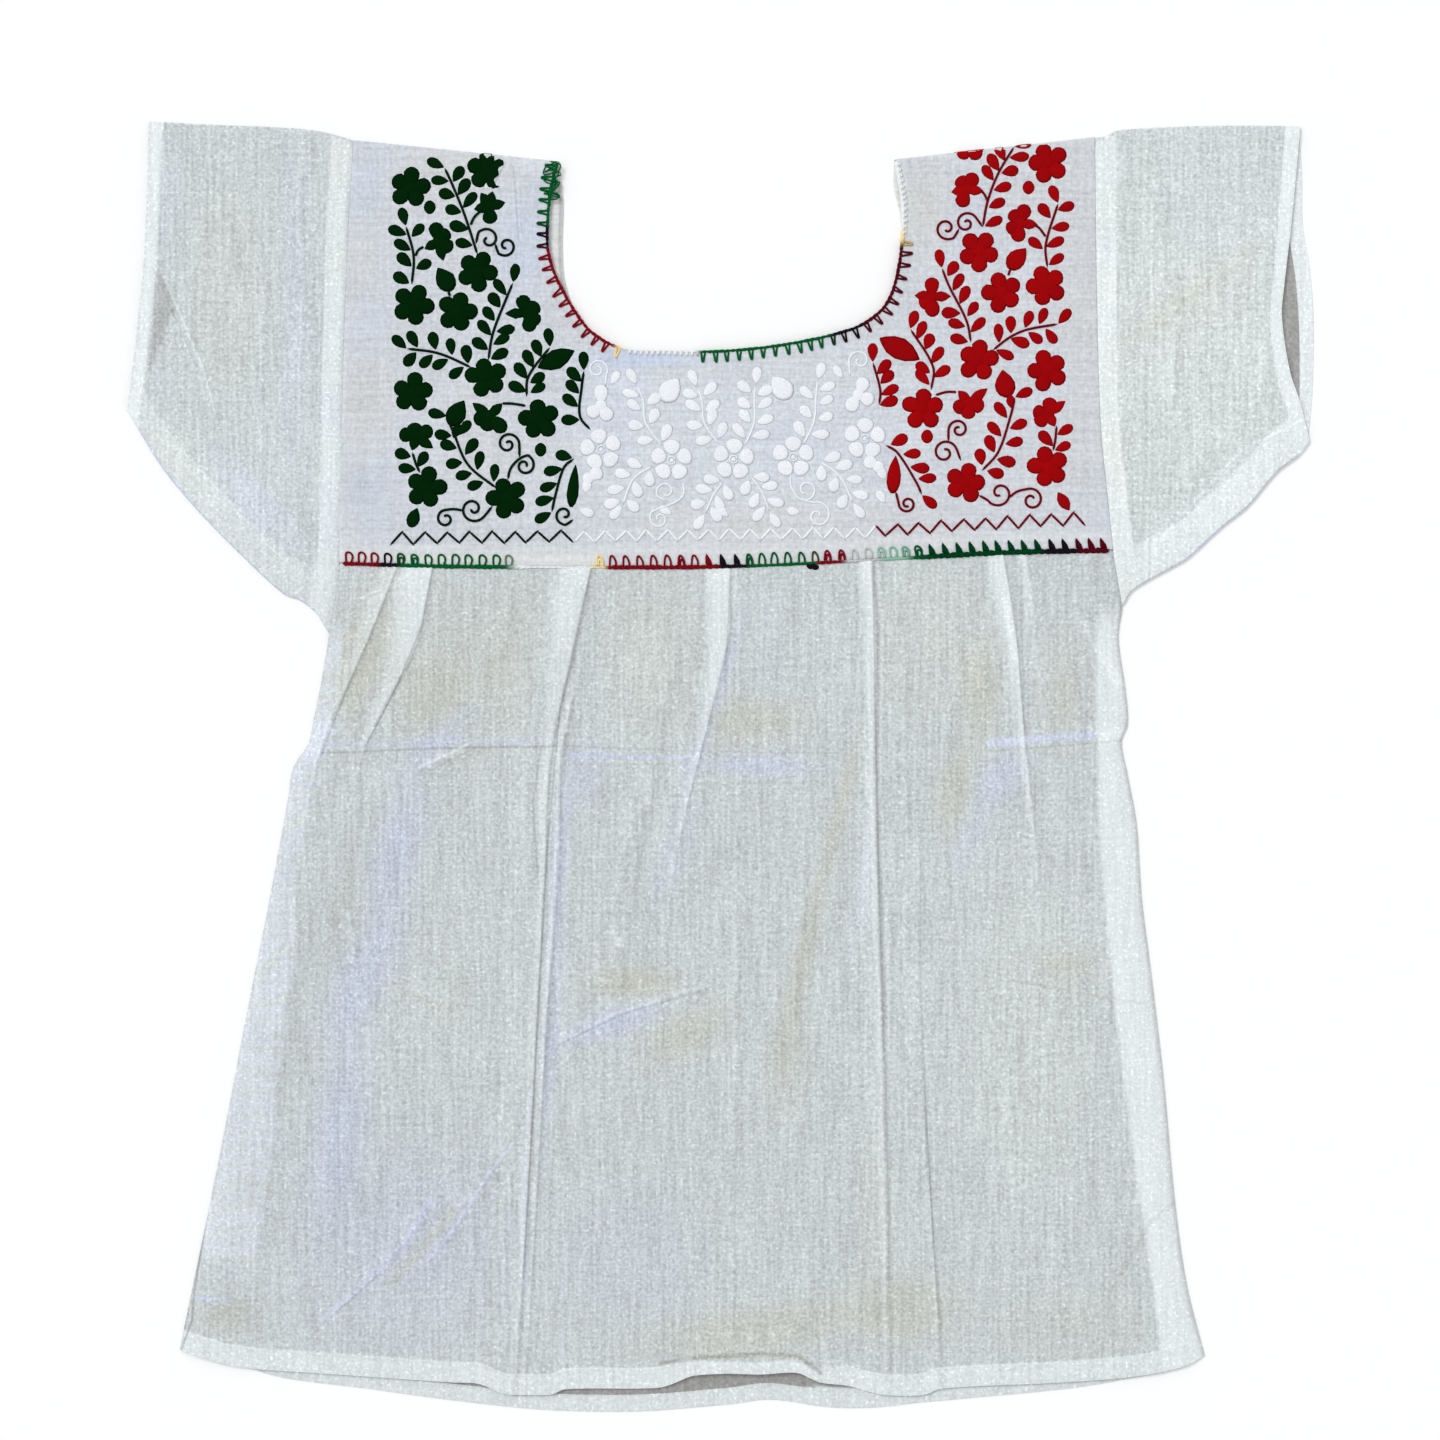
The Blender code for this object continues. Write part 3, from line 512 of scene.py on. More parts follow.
skirt = {
    "pitch": 3.6 * mm,           # widest step between columns of the front
    "rows": 146,
    # fold, end, points, reach in mm, darker: a painted shade line along the fold's edge
    "crestLines": [(0, 0.24, 4, 0.8, -0.20), (1, 0.22, 4, 0.8, -0.26), (2, 0.86, 6, 0.9, -0.24),
                   (5, 0.3, 4, 0.8, -0.18), (8, 0.6, 4, 1.1, -0.20), (11, 0.22, 3, 0.8, -0.18)],
    "crestFrom": 0.003,          # where these lines start below the seam, as a share
    "tintShare": 0.75,           # how strongly the washes tint
    "plateau": 0.6,              # the part of a fold's climb that slopes
    "fullFold": 1.2 * mm,        # a fold this high has its full light and shade
    "seamShare": 0.35,           # of a fold's height is left at the yoke seam
    "hemBand": 12.2 * mm,        # the turned hem of the front
    "backBand": 9.6 * mm,        # and of the back
    "archBand": 0.58,            # the share of the hem not hidden where it arches up
    "hemStep": 0.3 * mm,         # how much thicker it is
    "archLift": 2.6 * mm,        # the front hem stands up here, over the back
    "archFrom": -26 * mm, "archTo": 72 * mm,
    "archSlope": 22 * mm, "archDepth": 32 * mm,
    "narrowBand": 4,             # how wide the doubled cloth beside a crest is below the pleats, in mm
    "narrowBy": 0.26,            # reached at this share of the way down
    "fadeBy": 0.3,               # and here it shows half as much
    "seamReach": 10 * mm,        # a fold is at its full height this far below the yoke seam
    "hemEdge": 0.5 * mm,         # how soft the step of a turned hem is
    "sideReach": 12 * mm, "sideSlope": 5 * mm,     # how far from a side seam the cloth lies lower
    "frontLength": 0.469, "backLength": 0.478, "stitchLength": 0.474,     # from seam to hem, in metres
    "backRows": 90, "backColumns": 120, "backWrinkle": 0.12 * mm,
    "wrinkle": 0.20 * mm, "shortWrinkle": 0.6, "wrinkleLift": 0.6,     # the last two as shares of the first
    # metres, stretch and seed
    "longWave": (0.030, (1.0, 3.2), 1.3), "shortWave": (0.012, (1.0, 2.5), 4.7),
    "backWave": (0.028, (1.0, 2.6), 8.1), "pressedWave": (0.04, (1.5, 1.0), 6.0),
    "wrinkleStep": 12.5 * mm,    # between the short wrinkles of the pressed allowance
    "pressedFrom": 0.06, "pressedTo": 0.86, "pressedFade": 0.04,     # shares of the way down
    "allowanceEdge": (1.6 * mm, 1.2 * mm),     # how soft the inner edge is, on the right and on the left
    "rightAllowance": (-206, -214, -223, -238, -245, -256, -274),     # its inner edge, x in mm at each level
    "leftAllowance": (212, 213, 213, 215, 222, 235, 251),
}
skirtRelief = [
    # x1, y1, x2, y2, height, reach to each side, all in mm
    (-238, 8, -90, 11, -0.25, 3), (-90, 11, 66, 8, -0.2, 3), (66, 8, 228, 17, -0.25, 3),
    (-172, -2, -140, 12, 1.0, 6), (-166, -280, -125, -222, 1.0, 7), (-210, -300, -166, -250, 0.9, 7),
    (-92, -158, -58, -141, 0.9, 7), (-58, -141, -10, -127, 0.8, 7),
    (-210, -90, -196, -190, 0.7, 16), (160, -130, 170, -250, 0.6, 14), (-222, 14, -190, 60, 0.5, 6),
]
skirtWashes = [
    # x, y, half width, half height in mm, turn, blue (beige below 0), lighter (darker below 0): the lightness
    # is painted light and shade of soft folds
    (-205, 62, 18, 44, -25, -0.7, -0.04), (-206, 50, 6, 27, -25, -0.4, -0.07),     # under the first pleats
    (-150, 52, 36, 44, 0, -0.4, -0.02), (-165, 40, 19, 22, 0, -0.5, -0.04),
    (-118, 70, 14, 42, -12, -0.3, -0.02),
    # the fold that falls to the left
    (-227, 17, 6, 20, -38, 1.0, 0.10), (-158, 18, 9, 28, -50, 0.9, 0.0),
    (-184, -48, 14, 42, -14, 1.0, -0.02), (-203, -118, 15, 40, -30, 0.95, 0.0),
    (-216, -200, 14, 56, -8, 0.85, -0.02),
    (-214, -72, 8, 42, -12, -0.1, -0.09), (-239, -125, 6, 60, -11, 0, -0.08),
    (-256, -215, 5, 50, -8, 0, -0.06),
    (-280, -312, 17, 11, 0, -0.6, -0.09), (-268, -239, 12, 9, 0, -0.4, -0.06),
    (-177, -275, 62, 55, 0, 0.45, -0.03), (-52, -278, 42, 42, 0, 0.4, -0.02),
    (-160, -150, 22, 70, -8, -0.1, 0.02),
    (-92, -58, 5, 44, -5, 1.0, 0.0), (-96, -150, 5, 60, -4, 0.8, 0.0), (-78, -6, 11, 20, -20, 0.7, 0.0),
    (-191, -255, 80, 90, 0, 0.2, -0.02), (-119, -160, 5, 90, -3, 0, 0.05), (-100, -15, 4, 32, -3, 0, 0.12),
    (-40, 66, 26, 46, 0, -0.35, 0.02), (-26, -50, 8, 30, -22, 0.6, 0.0),        # the middle
    (-46, 66, 8, 34, -5, -0.1, 0.03), (-16, 62, 4, 44, -14, 0, -0.06), (-6, 30, 5, 58, -18, 0.9, 0.03),
    (60, 65, 12, 45, 0, 0, 0.04), (84, -110, 3.5, 110, 0, 0.1, 0.06), (110, -90, 5, 95, 0, 0, 0.05),
    (146, 66, 5, 30, -8, 0, 0.05), (28, 60, 10, 50, 0, 0.2, 0.02),
    (18, 27, 28, 12, 4, -0.9, -0.05), (22, 1, 32, 6, -2, 1.1, 0.01),
    (-48, -122, 24, 9, 0, -1.0, -0.05), (-62, -146, 30, 8, 18, 1.1, 0.03),
    (-20, -152, 26, 13, 30, -0.8, -0.05),
    (68, -25, 5, 40, -14, -0.8, -0.05), (47, -108, 6, 50, -13, -0.8, -0.06),
    (38, -165, 12, 30, -5, -0.5, -0.05),
    (80, -66, 4, 42, -8, 0.4, 0.08), (88, -260, 12, 60, 0, -0.2, -0.03),
    (148, 44, 11, 28, 0, -0.8, -0.05), (133, -12, 9, 23, -15, -0.9, -0.05),    # the left side
    (160, -6, 19, 11, 50, 1.0, 0.01), (143, -40, 8, 22, -25, 0.6, 0.0), (195, 42, 14, 30, 0, -0.5, -0.03),
    (196, -112, 20, 9, 0, -0.6, -0.05), (176, -150, 44, 110, 0, -0.12, 0.05),
    (120, 70, 34, 40, 0, -0.3, 0.02),
    (20, -320, 60, 14, 8, -0.8, -0.05), (104, -308, 30, 18, 0, -0.8, -0.05),
    (200, -318, 40, 18, 0, -0.3, -0.03),
]


def slopeAt(values, index):
    before, after = max(0, index - 1), min(len(levels) - 1, index + 1)
    return (values[after] - values[before]) / (levels[after] - levels[before])


def atLevel(values, down):     # a value from a fold's row, smoothly between the levels
    index = 1
    while down > levels[index] and index < len(levels) - 1:
        index += 1
    span = levels[index] - levels[index - 1]
    part = (down - levels[index - 1]) / span
    leave, arrive = slopeAt(values, index - 1) * span, slopeAt(values, index) * span
    bend = leave * part * (1 - part) ** 2 - arrive * part ** 2 * (1 - part)
    return (mix(values[index - 1], values[index], float(ease(part))) + bend) * mm


class Panel:
    def __init__(self, hem):
        self.right, self.left = Line(outline["rightSide"]), Line(outline["leftSide"])
        self.seam = Line(outline["yokeSeam"], (0, -layers["seamGap"] / 2))
        self.hem = Line(outline[hem])

    def edges(self, down):
        ends = []
        for line in (self.right, self.left):
            ends.append(float(line.xAt(mix(line.points[0, 1], line.points[-1, 1], down))))
        return ends

    def row(self, across, down):     # one row of points, at these shares of the width
        right, left = self.edges(down)
        top = self.seam.yAt(mix(self.seam.points[0, 0], self.seam.points[-1, 0], across))
        bottom = self.hem.yAt(mix(self.hem.points[0, 0], self.hem.points[-1, 0], across))
        return mix(right, left, across), mix(top, bottom, down)


def crestLine(fold, last, count):     # the path of a fold's edge from the seam down, in mm
    panel, path = Panel("frontHem"), []
    for down in np.linspace(skirt["crestFrom"], last, count):
        x = atLevel(fold["crest"], down)
        y = mix(panel.seam.yAt(x), panel.hem.yAt(x), down)
        path.append((x / mm + fold["drop"] / 2, y / mm))
    return path


for index, last, count, width, light in skirt["crestLines"]:
    bodyCreases.append((crestLine(folds[index], last, count), width, light, 0, 0))
sheerCotton = makeMuslin("sheerCotton", muslin, bodyCreases)
print("materials for the cloth made")


def foldGuides(panel, down):     # shares of the width where each fold's form and tone change
    right, left = panel.edges(down)
    guides = [0.0, 0.006, 0.012]
    for fold in folds:
        at, climb, drop = atLevel(fold["crest"], down), fold["climb"], fold["drop"]
        offsets = (-climb, -climb * (1 - skirt["plateau"]), -2.1, -0.6, drop * 0.7, drop + 1.8, drop + 3.6)
        guides.extend((at + offset * mm - right) / (left - right) for offset in offsets)
    guides = np.array(guides + [0.988, 0.994, 1.0])
    least = 0.0007     # no two columns meet
    for index in range(1, len(guides)):
        guides[index] = max(guides[index], guides[index - 1] + least)
    guides[-1] = 1.0
    for index in range(len(guides) - 2, 0, -1):
        guides[index] = min(guides[index], guides[index + 1] - least)
    return guides


def hemRows(count, hemShare):     # shares of the way down, close together at the seam and at the hem
    top = [0.0, 0.002, 0.005, 0.008]
    body = np.linspace(0.012, 1 - hemShare * 1.3, count)
    band = [1.12, 1.04, 1.0, 0.95, 0.85, 0.72, 0.62, 0.58, 0.5, 0.4, 0.25, 0.12, 0.05, 0.015, 0.0]
    return np.concatenate([top, body, 1 - hemShare * np.array(band)])


def foldTone(fold, offset, height):     # light and shade along a fold; offset in metres from its crest
    drop, tone = fold["drop"], 0
    for key, place, reach in (("light", -0.6, 1.5), ("dark", drop * 0.7, 0.6 + drop * 0.5),
                              ("beyond", drop + 1.8, 1.8)):
        tone = tone + fold.get(key, 0) * ease(1 - np.abs(offset / mm - place) / reach)
    return tone * min(1.0, height / skirt["fullFold"])


def frontRow(panel, across, down):     # places, heights and shades of the front at shares of its width
    x, y = panel.row(across, down)
    right, left = panel.edges(down)
    inset = np.minimum(x - right, left - x)
    relief, band = np.zeros(len(x)), np.zeros(len(x))
    tint, level = wash(x, y, skirtWashes)
    tint *= skirt["tintShare"]
    for fold in folds:
        offset = x - atLevel(fold["crest"], down)
        climb = ease((offset / mm + fold["climb"]) / (fold["climb"] * skirt["plateau"]))
        fall = ease(1 - offset / mm / fold["drop"])
        height = max(0.0, atLevel(fold["rise"], down))
        relief += height * np.where(offset <= 0, climb, fall)
        level += foldTone(fold, offset, height)
        width = mix(fold["climb"], skirt["narrowBand"], float(ease(down / skirt["narrowBy"])))
        ridge = np.where(offset <= 0, ease((offset / mm + width) / (width * 0.5)), fall)
        share = min(1.0, height / skirt["fullFold"]) * (1 - 0.5 * float(ease(down / skirt["fadeBy"])))
        band = np.maximum(band, ridge * share * fold.get("layers", 0))
    relief += creaseRelief(x, y, skirtRelief)
    seamAway = panel.seam.yAt(x) - y
    relief *= mix(skirt["seamShare"], 1.0, ease(seamAway / skirt["seamReach"]))
    hemAway = (1 - down) * (panel.seam.yAt(x) - panel.hem.yAt(x))
    rising, sinking = x - skirt["archFrom"], skirt["archTo"] - x
    arch = ease(rising / skirt["archSlope"]) * ease(sinking / skirt["archSlope"])
    inHem = ease((skirt["hemBand"] * mix(1, skirt["archBand"], arch) - hemAway) / skirt["hemEdge"])
    relief += inHem * skirt["hemStep"]
    relief += arch * skirt["archLift"] * ease(1 - hemAway / skirt["archDepth"])
    wander = ripple(x, y, *skirt["longWave"]) + skirt["shortWrinkle"] * ripple(x, y, *skirt["shortWave"])
    relief += skirt["wrinkle"] * (wander + skirt["wrinkleLift"])
    joined = np.where(x < 0, outline["rightUnderarm"][0][1], outline["leftUnderarm"][0][1]) * mm
    side = mix(layers["frontLevel"] - layers["seamDip"], layers["sideLevel"], ease((joined - y) / (9 * mm)))
    fromSide = ease(inset / skirt["sideReach"])
    z = mix(side, layers["frontLevel"] + relief * fromSide, ease(inset / skirt["sideSlope"]))
    z -= (1 - ease(seamAway / (2 * mm))) * layers["seamDip"] * 0.5
    pressed = ease((down - skirt["pressedFrom"]) / skirt["pressedFade"])
    rightEdge, leftEdge = skirt["allowanceEdge"]
    leftSide = ease((x - atLevel(skirt["leftAllowance"], down)) / leftEdge) * pressed
    rightSide = ease((atLevel(skirt["rightAllowance"], down) - x) / rightEdge) * pressed
    # the short wrinkles of the pressed allowance are painted as bars of tint and painted shade
    phase = y / skirt["wrinkleStep"] * 2 * math.pi + 9 * ripple(x, y, *skirt["pressedWave"])
    bars = ease(np.sin(phase) * 2 - 1)
    rightSide *= 1 - ease((down - skirt["pressedTo"]) / skirt["pressedFade"])
    tint += rightSide * (0.7 - 0.9 * bars)
    level -= rightSide * bars * 0.03
    band = np.maximum.reduce([band * fromSide, inHem * 0.7, leftSide * 0.95, rightSide * 0.42])
    return x, y, z, shadeMap(x, band, 0.0, tint * (1 - inHem), level * (1 - 0.6 * inHem))


def makeFront():
    panel = Panel("frontHem")
    widest = np.max([np.diff(foldGuides(panel, down)) * (panel.edges(down)[1] - panel.edges(down)[0])
                     for down in levels], axis=0)
    splits = np.maximum(1, np.ceil(widest / skirt["pitch"])).astype(int)
    rows = []
    for down in hemRows(skirt["rows"], skirt["hemBand"] / skirt["frontLength"]):
        guides = foldGuides(panel, down)
        across = [0.0]
        for start, end, parts in zip(guides, guides[1:], splits):
            across.extend(mix(start, end, np.arange(1, parts + 1) / parts))
        rows.append(frontRow(panel, np.array(across), down))
    return stackRows(rows)


def backRow(panel, across, down):
    x, y = panel.row(across, down)
    hemAway = (1 - down) * (panel.seam.yAt(x) - panel.hem.yAt(x))
    wider = 3 * mm * ease(x / (22 * mm) - 2)     # towards the wearer's left
    inHem = ease((skirt["backBand"] + wider - hemAway) / skirt["hemEdge"])
    z = layers["backLevel"] + inHem * skirt["hemStep"] * 0.5
    z = z + skirt["backWrinkle"] * (ripple(x, y, *skirt["backWave"]) + 0.4)
    # above its turned hem the back's inside takes painted shade, where it shows under the front's hem
    return x, y, z, shadeMap(x, inHem * 0.75, 1 - inHem, 0.0, -0.04 * inHem)


def makeBack():
    panel = Panel("backHem")
    across = np.linspace(0, 1, skirt["backColumns"] + 1)
    downs = hemRows(skirt["backRows"], skirt["backBand"] / skirt["backLength"])
    return stackRows([backRow(panel, across, down) for down in downs])


frontBody = sheetPiece("frontBody", *makeFront(), layers["sheerCloth"], sheerCotton)
dress(frontBody, "front_skirt")
backBody = sheetPiece("backBody", *makeBack(), layers["sheerCloth"], sheerCotton)
dress(backBody, "back_skirt")
print("body made:", len(frontBody.data.vertices), "and", len(backBody.data.vertices), "points")


# A folded edge, from the front layer round to the back layer

def roll(front, back, outward, frontLevel, backLevel, steps=6):
    radius = (frontLevel - backLevel) / 2
    points = []
    for step in range(1, steps):
        angle = math.pi * step / steps
        flat = mix(front, back, (1 - math.cos(angle)) / 2) + np.array(outward) * radius * math.sin(angle)
        points.append(np.concatenate([flat, [backLevel + radius * (1 + math.cos(angle))]]))
    return np.array(points)


# Sleeves: a tube pressed flat, folded along its top and closed at the underarm

def patch(top, bottom, near, far, along, down):     # a Coons patch between four edges
    ruled = mix(near.at(down), far.at(down), along) + mix(top.at(along), bottom.at(along), down[:, None])
    corners = mix(mix(near.at(0.0), far.at(0.0), along), mix(near.at(1.0), far.at(1.0), along), down[:, None])
    return ruled - corners


sleeves = {
    "cuffBand": 8.6 * mm,
    "length": 115 * mm,          # from the armhole to the cuff
    "allowance": 13.5 * mm,      # the seam allowance that shows through beside the armhole
    "lowAllowance": 16 * mm,     # and along the underarm
    "across": 64, "frontDown": 150, "backDown": 60,
    "wrinkle": 0.3 * mm, "bandStep": 0.3 * mm, "bandEdge": 0.5 * mm,
    "sewnShare": 0.02,           # of its width sinks into the armhole seam
    "rim": 0.03,                 # of its height stays free of relief at the fold and the underarm
    "underarmSlope": 0.76,       # turns a height into a distance square to the sloping underarm
}
sleeveSets = {
    "right": {
        "side": -1, "top": "rightSleeveTop", "underarm": "rightUnderarm", "armhole": "rightArmhole",
        "cuffs": ("rightCuff", "rightCuff"),
        "creases": [(-320, 286, -310, 262, 0.9, 5), (-310, 262, -294, 226, 1.1, 6),
                    (-294, 226, -288, 203, 0.9, 6),
                    (-262, 255, -261, 181, 0.9, 5), (-238, 330, -236, 250, 0.7, 12),
                    (-285, 345, -281, 290, 0.6, 12)],
        "singleLayerAndShade": [(-320, 286), (-310, 262), (-320, 237), (-326, 221)], "low": 0.4,
    },
    "left": {
        "side": 1, "top": "leftSleeveTop", "underarm": "leftUnderarm", "armhole": "leftArmhole",
        "cuffs": ("leftCuffFront", "leftCuffBack"),
        "creases": [(310, 300, 312, 225, 1.6, 16), (308, 243, 306, 209, 0.8, 5),
                    (250, 330, 256, 215, 0.8, 13),
                    (290, 190, 262, 160, 0.9, 10), (236, 215, 233, 150, 0.6, 9)],
        "singleLayerAndShade": [], "low": 0.6,
    },
}
sleeveWashes = [
    # as for the skirt
    (-275, 240, 80, 160, 0, 0.1, 0.07), (275, 240, 80, 160, 0, -0.1, 0.18),
    (-280, 270, 26, 66, 0, -0.3, -0.03), (-303, 172, 34, 16, -45, -0.3, 0.05),
    (-243, 262, 8, 90, 0, 0.3, 0.01),
    (-268, 152, 40, 12, -45, 0.4, 0.06), (-322, 325, 12, 30, 0, 0.3, 0.03),
    (262, 262, 40, 14, 36, -0.25, -0.02), (296, 172, 38, 12, 42, 0, 0.02), (258, 134, 28, 8, 42, 0.2, 0.02),
    (285, 318, 30, 30, 0, 0.1, -0.02),
]


def inside(x, y, corners, soft):     # 1 inside a convex outline in mm, listed clockwise, with a soft rim
    share = np.ones(np.shape(x))
    for (x1, y1), (x2, y2) in zip(corners, corners[1:] + corners[:1]):
        runX, runY = x2 - x1, y2 - y1
        away = ((x / mm - x1) * runY - (y / mm - y1) * runX) / math.hypot(runX, runY)
        share = np.minimum(share, ease(away / soft + 0.5))
    return share


def sleeveEdges(facts, cuff):     # top, underarm, armhole and one of the two cuff lines
    shift = (facts["side"] * layers["seamGap"], 0)
    names = facts["top"], facts["underarm"], facts["armhole"], facts["cuffs"][cuff]
    return [Line(outline[name], shift) for name in names]


def cuffShare(along):     # 1 in the turned cuff
    return float(ease((sleeves["cuffBand"] - (1 - along) * sleeves["length"]) / sleeves["bandEdge"]))


def sleeveFront(facts, along):     # places, heights and shades of the front layer, from the top fold down
    down = np.linspace(0, 1, sleeves["frontDown"] + 1)
    flat = patch(*sleeveEdges(facts, 0), along, down)
    x, y = flat[:, 0], flat[:, 1]
    inBand = cuffShare(along)
    relief = creaseRelief(x, y, facts["creases"])
    relief += sleeves["wrinkle"] * (ripple(x, y, 0.026, (1.0, 2.4), 12.4 + facts["side"]) + 0.5)
    relief += inBand * sleeves["bandStep"]
    seam = float(ease(along / sleeves["sewnShare"]))
    rim = ease(np.minimum(down, 1 - down) / sleeves["rim"])
    z = layers["frontLevel"] + relief * rim * seam - (1 - seam) * layers["seamDip"]
    allow = float(ease((sleeves["allowance"] - along * sleeves["length"]) / (0.6 * mm)))
    singleLayerAndShade = inside(x, y, facts["singleLayerAndShade"], 1.0) * (1 - inBand) if facts["singleLayerAndShade"] else 0.0
    tint, level = wash(x, y, sleeveWashes)
    away = (1 - down) * (y[0] - y[-1]) * sleeves["underarmSlope"]
    under = ease((sleeves["lowAllowance"] - away) / (0.8 * mm))
    band = np.maximum.reduce([np.full(len(x), inBand), np.full(len(x), allow * 0.7), under * facts["low"]])
    patches = ripple(x, y, 0.03, (3.0, 1.0), 31.0 + facts["side"]) * max(allow, 0.3 * float(inBand))
    level = level * (1 - 0.7 * inBand) + 0.03 * inBand
    return x, y, z, shadeMap(x, band, singleLayerAndShade * 0.55, tint + 1.6 * patches, level)


def makeSleeve(facts):
    side = facts["side"]
    bandShare = sleeves["cuffBand"] / sleeves["length"]
    alongs = np.concatenate([[0, 0.004, 0.010, 0.02],
                             np.linspace(0.035, 1 - bandShare * 1.2, sleeves["across"]),
                             1 - bandShare * np.array([1.04, 1.0, 0.94, 0.7, 0.4, 0.2, 0.08, 0.02, 0.0])])
    downBack = np.linspace(1, 0, sleeves["backDown"] + 1)
    low = np.array([side, -1.0]) / math.sqrt(2)
    spots, shades = [], []
    for along in alongs:
        x, y, z, shade = sleeveFront(facts, along)
        inBand = cuffShare(along)
        seam = float(ease(along / sleeves["sewnShare"]))
        ring, tone = [np.stack([x, y, z], axis=-1)], [shade]
        backFlat = patch(*sleeveEdges(facts, 1), along, downBack)
        backLevel = layers["backLevel"] + layers["seamDip"] * 0.3 * (1 - seam)
        frontLevel = layers["frontLevel"] - (1 - seam) * layers["seamDip"]
        lowRoll = roll(ring[0][-1, :2], backFlat[0], low, frontLevel, backLevel)
        highRoll = roll(ring[0][0, :2], backFlat[-1], (0, 1), frontLevel, backLevel)[::-1]
        back = np.column_stack([backFlat, np.full(len(backFlat), backLevel)])
        # painted shade on the inside of the tube, along its back layer
        for points, insideShade in ((lowRoll, 0.0), (back, 1 - inBand), (highRoll, 0.0), (ring[0][:1], 0.0)):
            ring.append(points)
            tone.append(shadeMap(points[:, 0], inBand * 0.8, insideShade, 0.0, 0.1))
        spots.append(np.vstack(ring))
        shades.append(np.vstack(tone))
    return np.array(spots), np.array(shades)


for sideName, facts in sleeveSets.items():
    sleeve = sheetPiece(sideName + "SleeveCloth", *makeSleeve(facts), layers["sheerCloth"], sleeveCotton)
    dress(sleeve, sideName + "_sleeve")
    facts["piece"] = sleeve
print("sleeves made")


# Yoke: one piece with the neck cut in it, folded over both shoulders

yoke = {
    "rows": 44, "armholeSteps": 90, "seamSteps": 150,
    "neckCorner": 0.29,          # where the columns of the neck turn from armhole to seam, as a share
    "flapDepth": 1.6 * mm, "flapFoot": (-129 * mm, 331 * mm), "flapTop": (-121.5 * mm, 346 * mm),
    "flapEdge": -100 * mm,       # the corner of cloth folded over the stitches, from its foot to its top
    "wrinkle": 0.16 * mm, "wave": (0.03, (1.6, 1.0), 21.0), "tintWave": (0.04, (1.0, 1.0), 3.0),
    "sewnEdge": 1.6 * mm, "calmRim": 6 * mm, "neckEdge": 5 * mm, "neckRise": 0.12 * mm,
    "backRise": 0.1 * mm,        # the yoke's back lies this much above the other back layers
    "allowance": 12 * mm, "insideNeck": 25 * mm,     # how far the back's shade reaches from the neck
    "creases": [(-115.6, 340, -116, 250, 0.6, 4), (-40, 200, 60, 196, 0.5, 18), (150, 320, 158, 210, 0.5, 14),
                (-116, 347, -140, 316, 0.5, 5), (104, 336, 128, 300, 0.4, 5),
                (-190, 300, -180, 200, 0.4, 14)],
    # blue or beige, and painted light and shade, as for the skirt
    "washes": [(-202, 320, 14, 34, 0, 0.3, 0.0), (-204, 288, 12, 20, 0, -0.3, 0.0),
               (-200, 250, 12, 24, 0, 0.35, -0.01),
               (-202, 205, 14, 34, 0, -0.4, -0.01), (-200, 150, 16, 26, 0, 0.4, -0.03),
               (-154, 338, 36, 14, 0, -0.4, 0.02),
               (-112, 296, 16, 34, 0, 0.5, 0.0), (-105, 345, 16, 6, 0, 0, 0.10),
               (-69, 205, 24, 30, 0, 0.1, 0.03),
               (-43, 233, 34, 5, 0, 1.0, -0.02), (20, 190, 110, 50, 0, 0.15, 0.05),
               (136, 301, 14, 24, 0, 0.3, 0.0),
               (119, 323, 14, 26, 0, -0.5, 0.01), (206, 250, 12, 100, 0, -0.2, -0.01),
               (40, 140, 90, 14, 0, -0.2, 0.0)],
}


def yokeLift(x, y):     # the front layer's own relief, at points in metres
    lift = creaseRelief(x, y, yoke["creases"])
    return lift + yoke["wrinkle"] * (ripple(x, y, *yoke["wave"]) + 0.5)


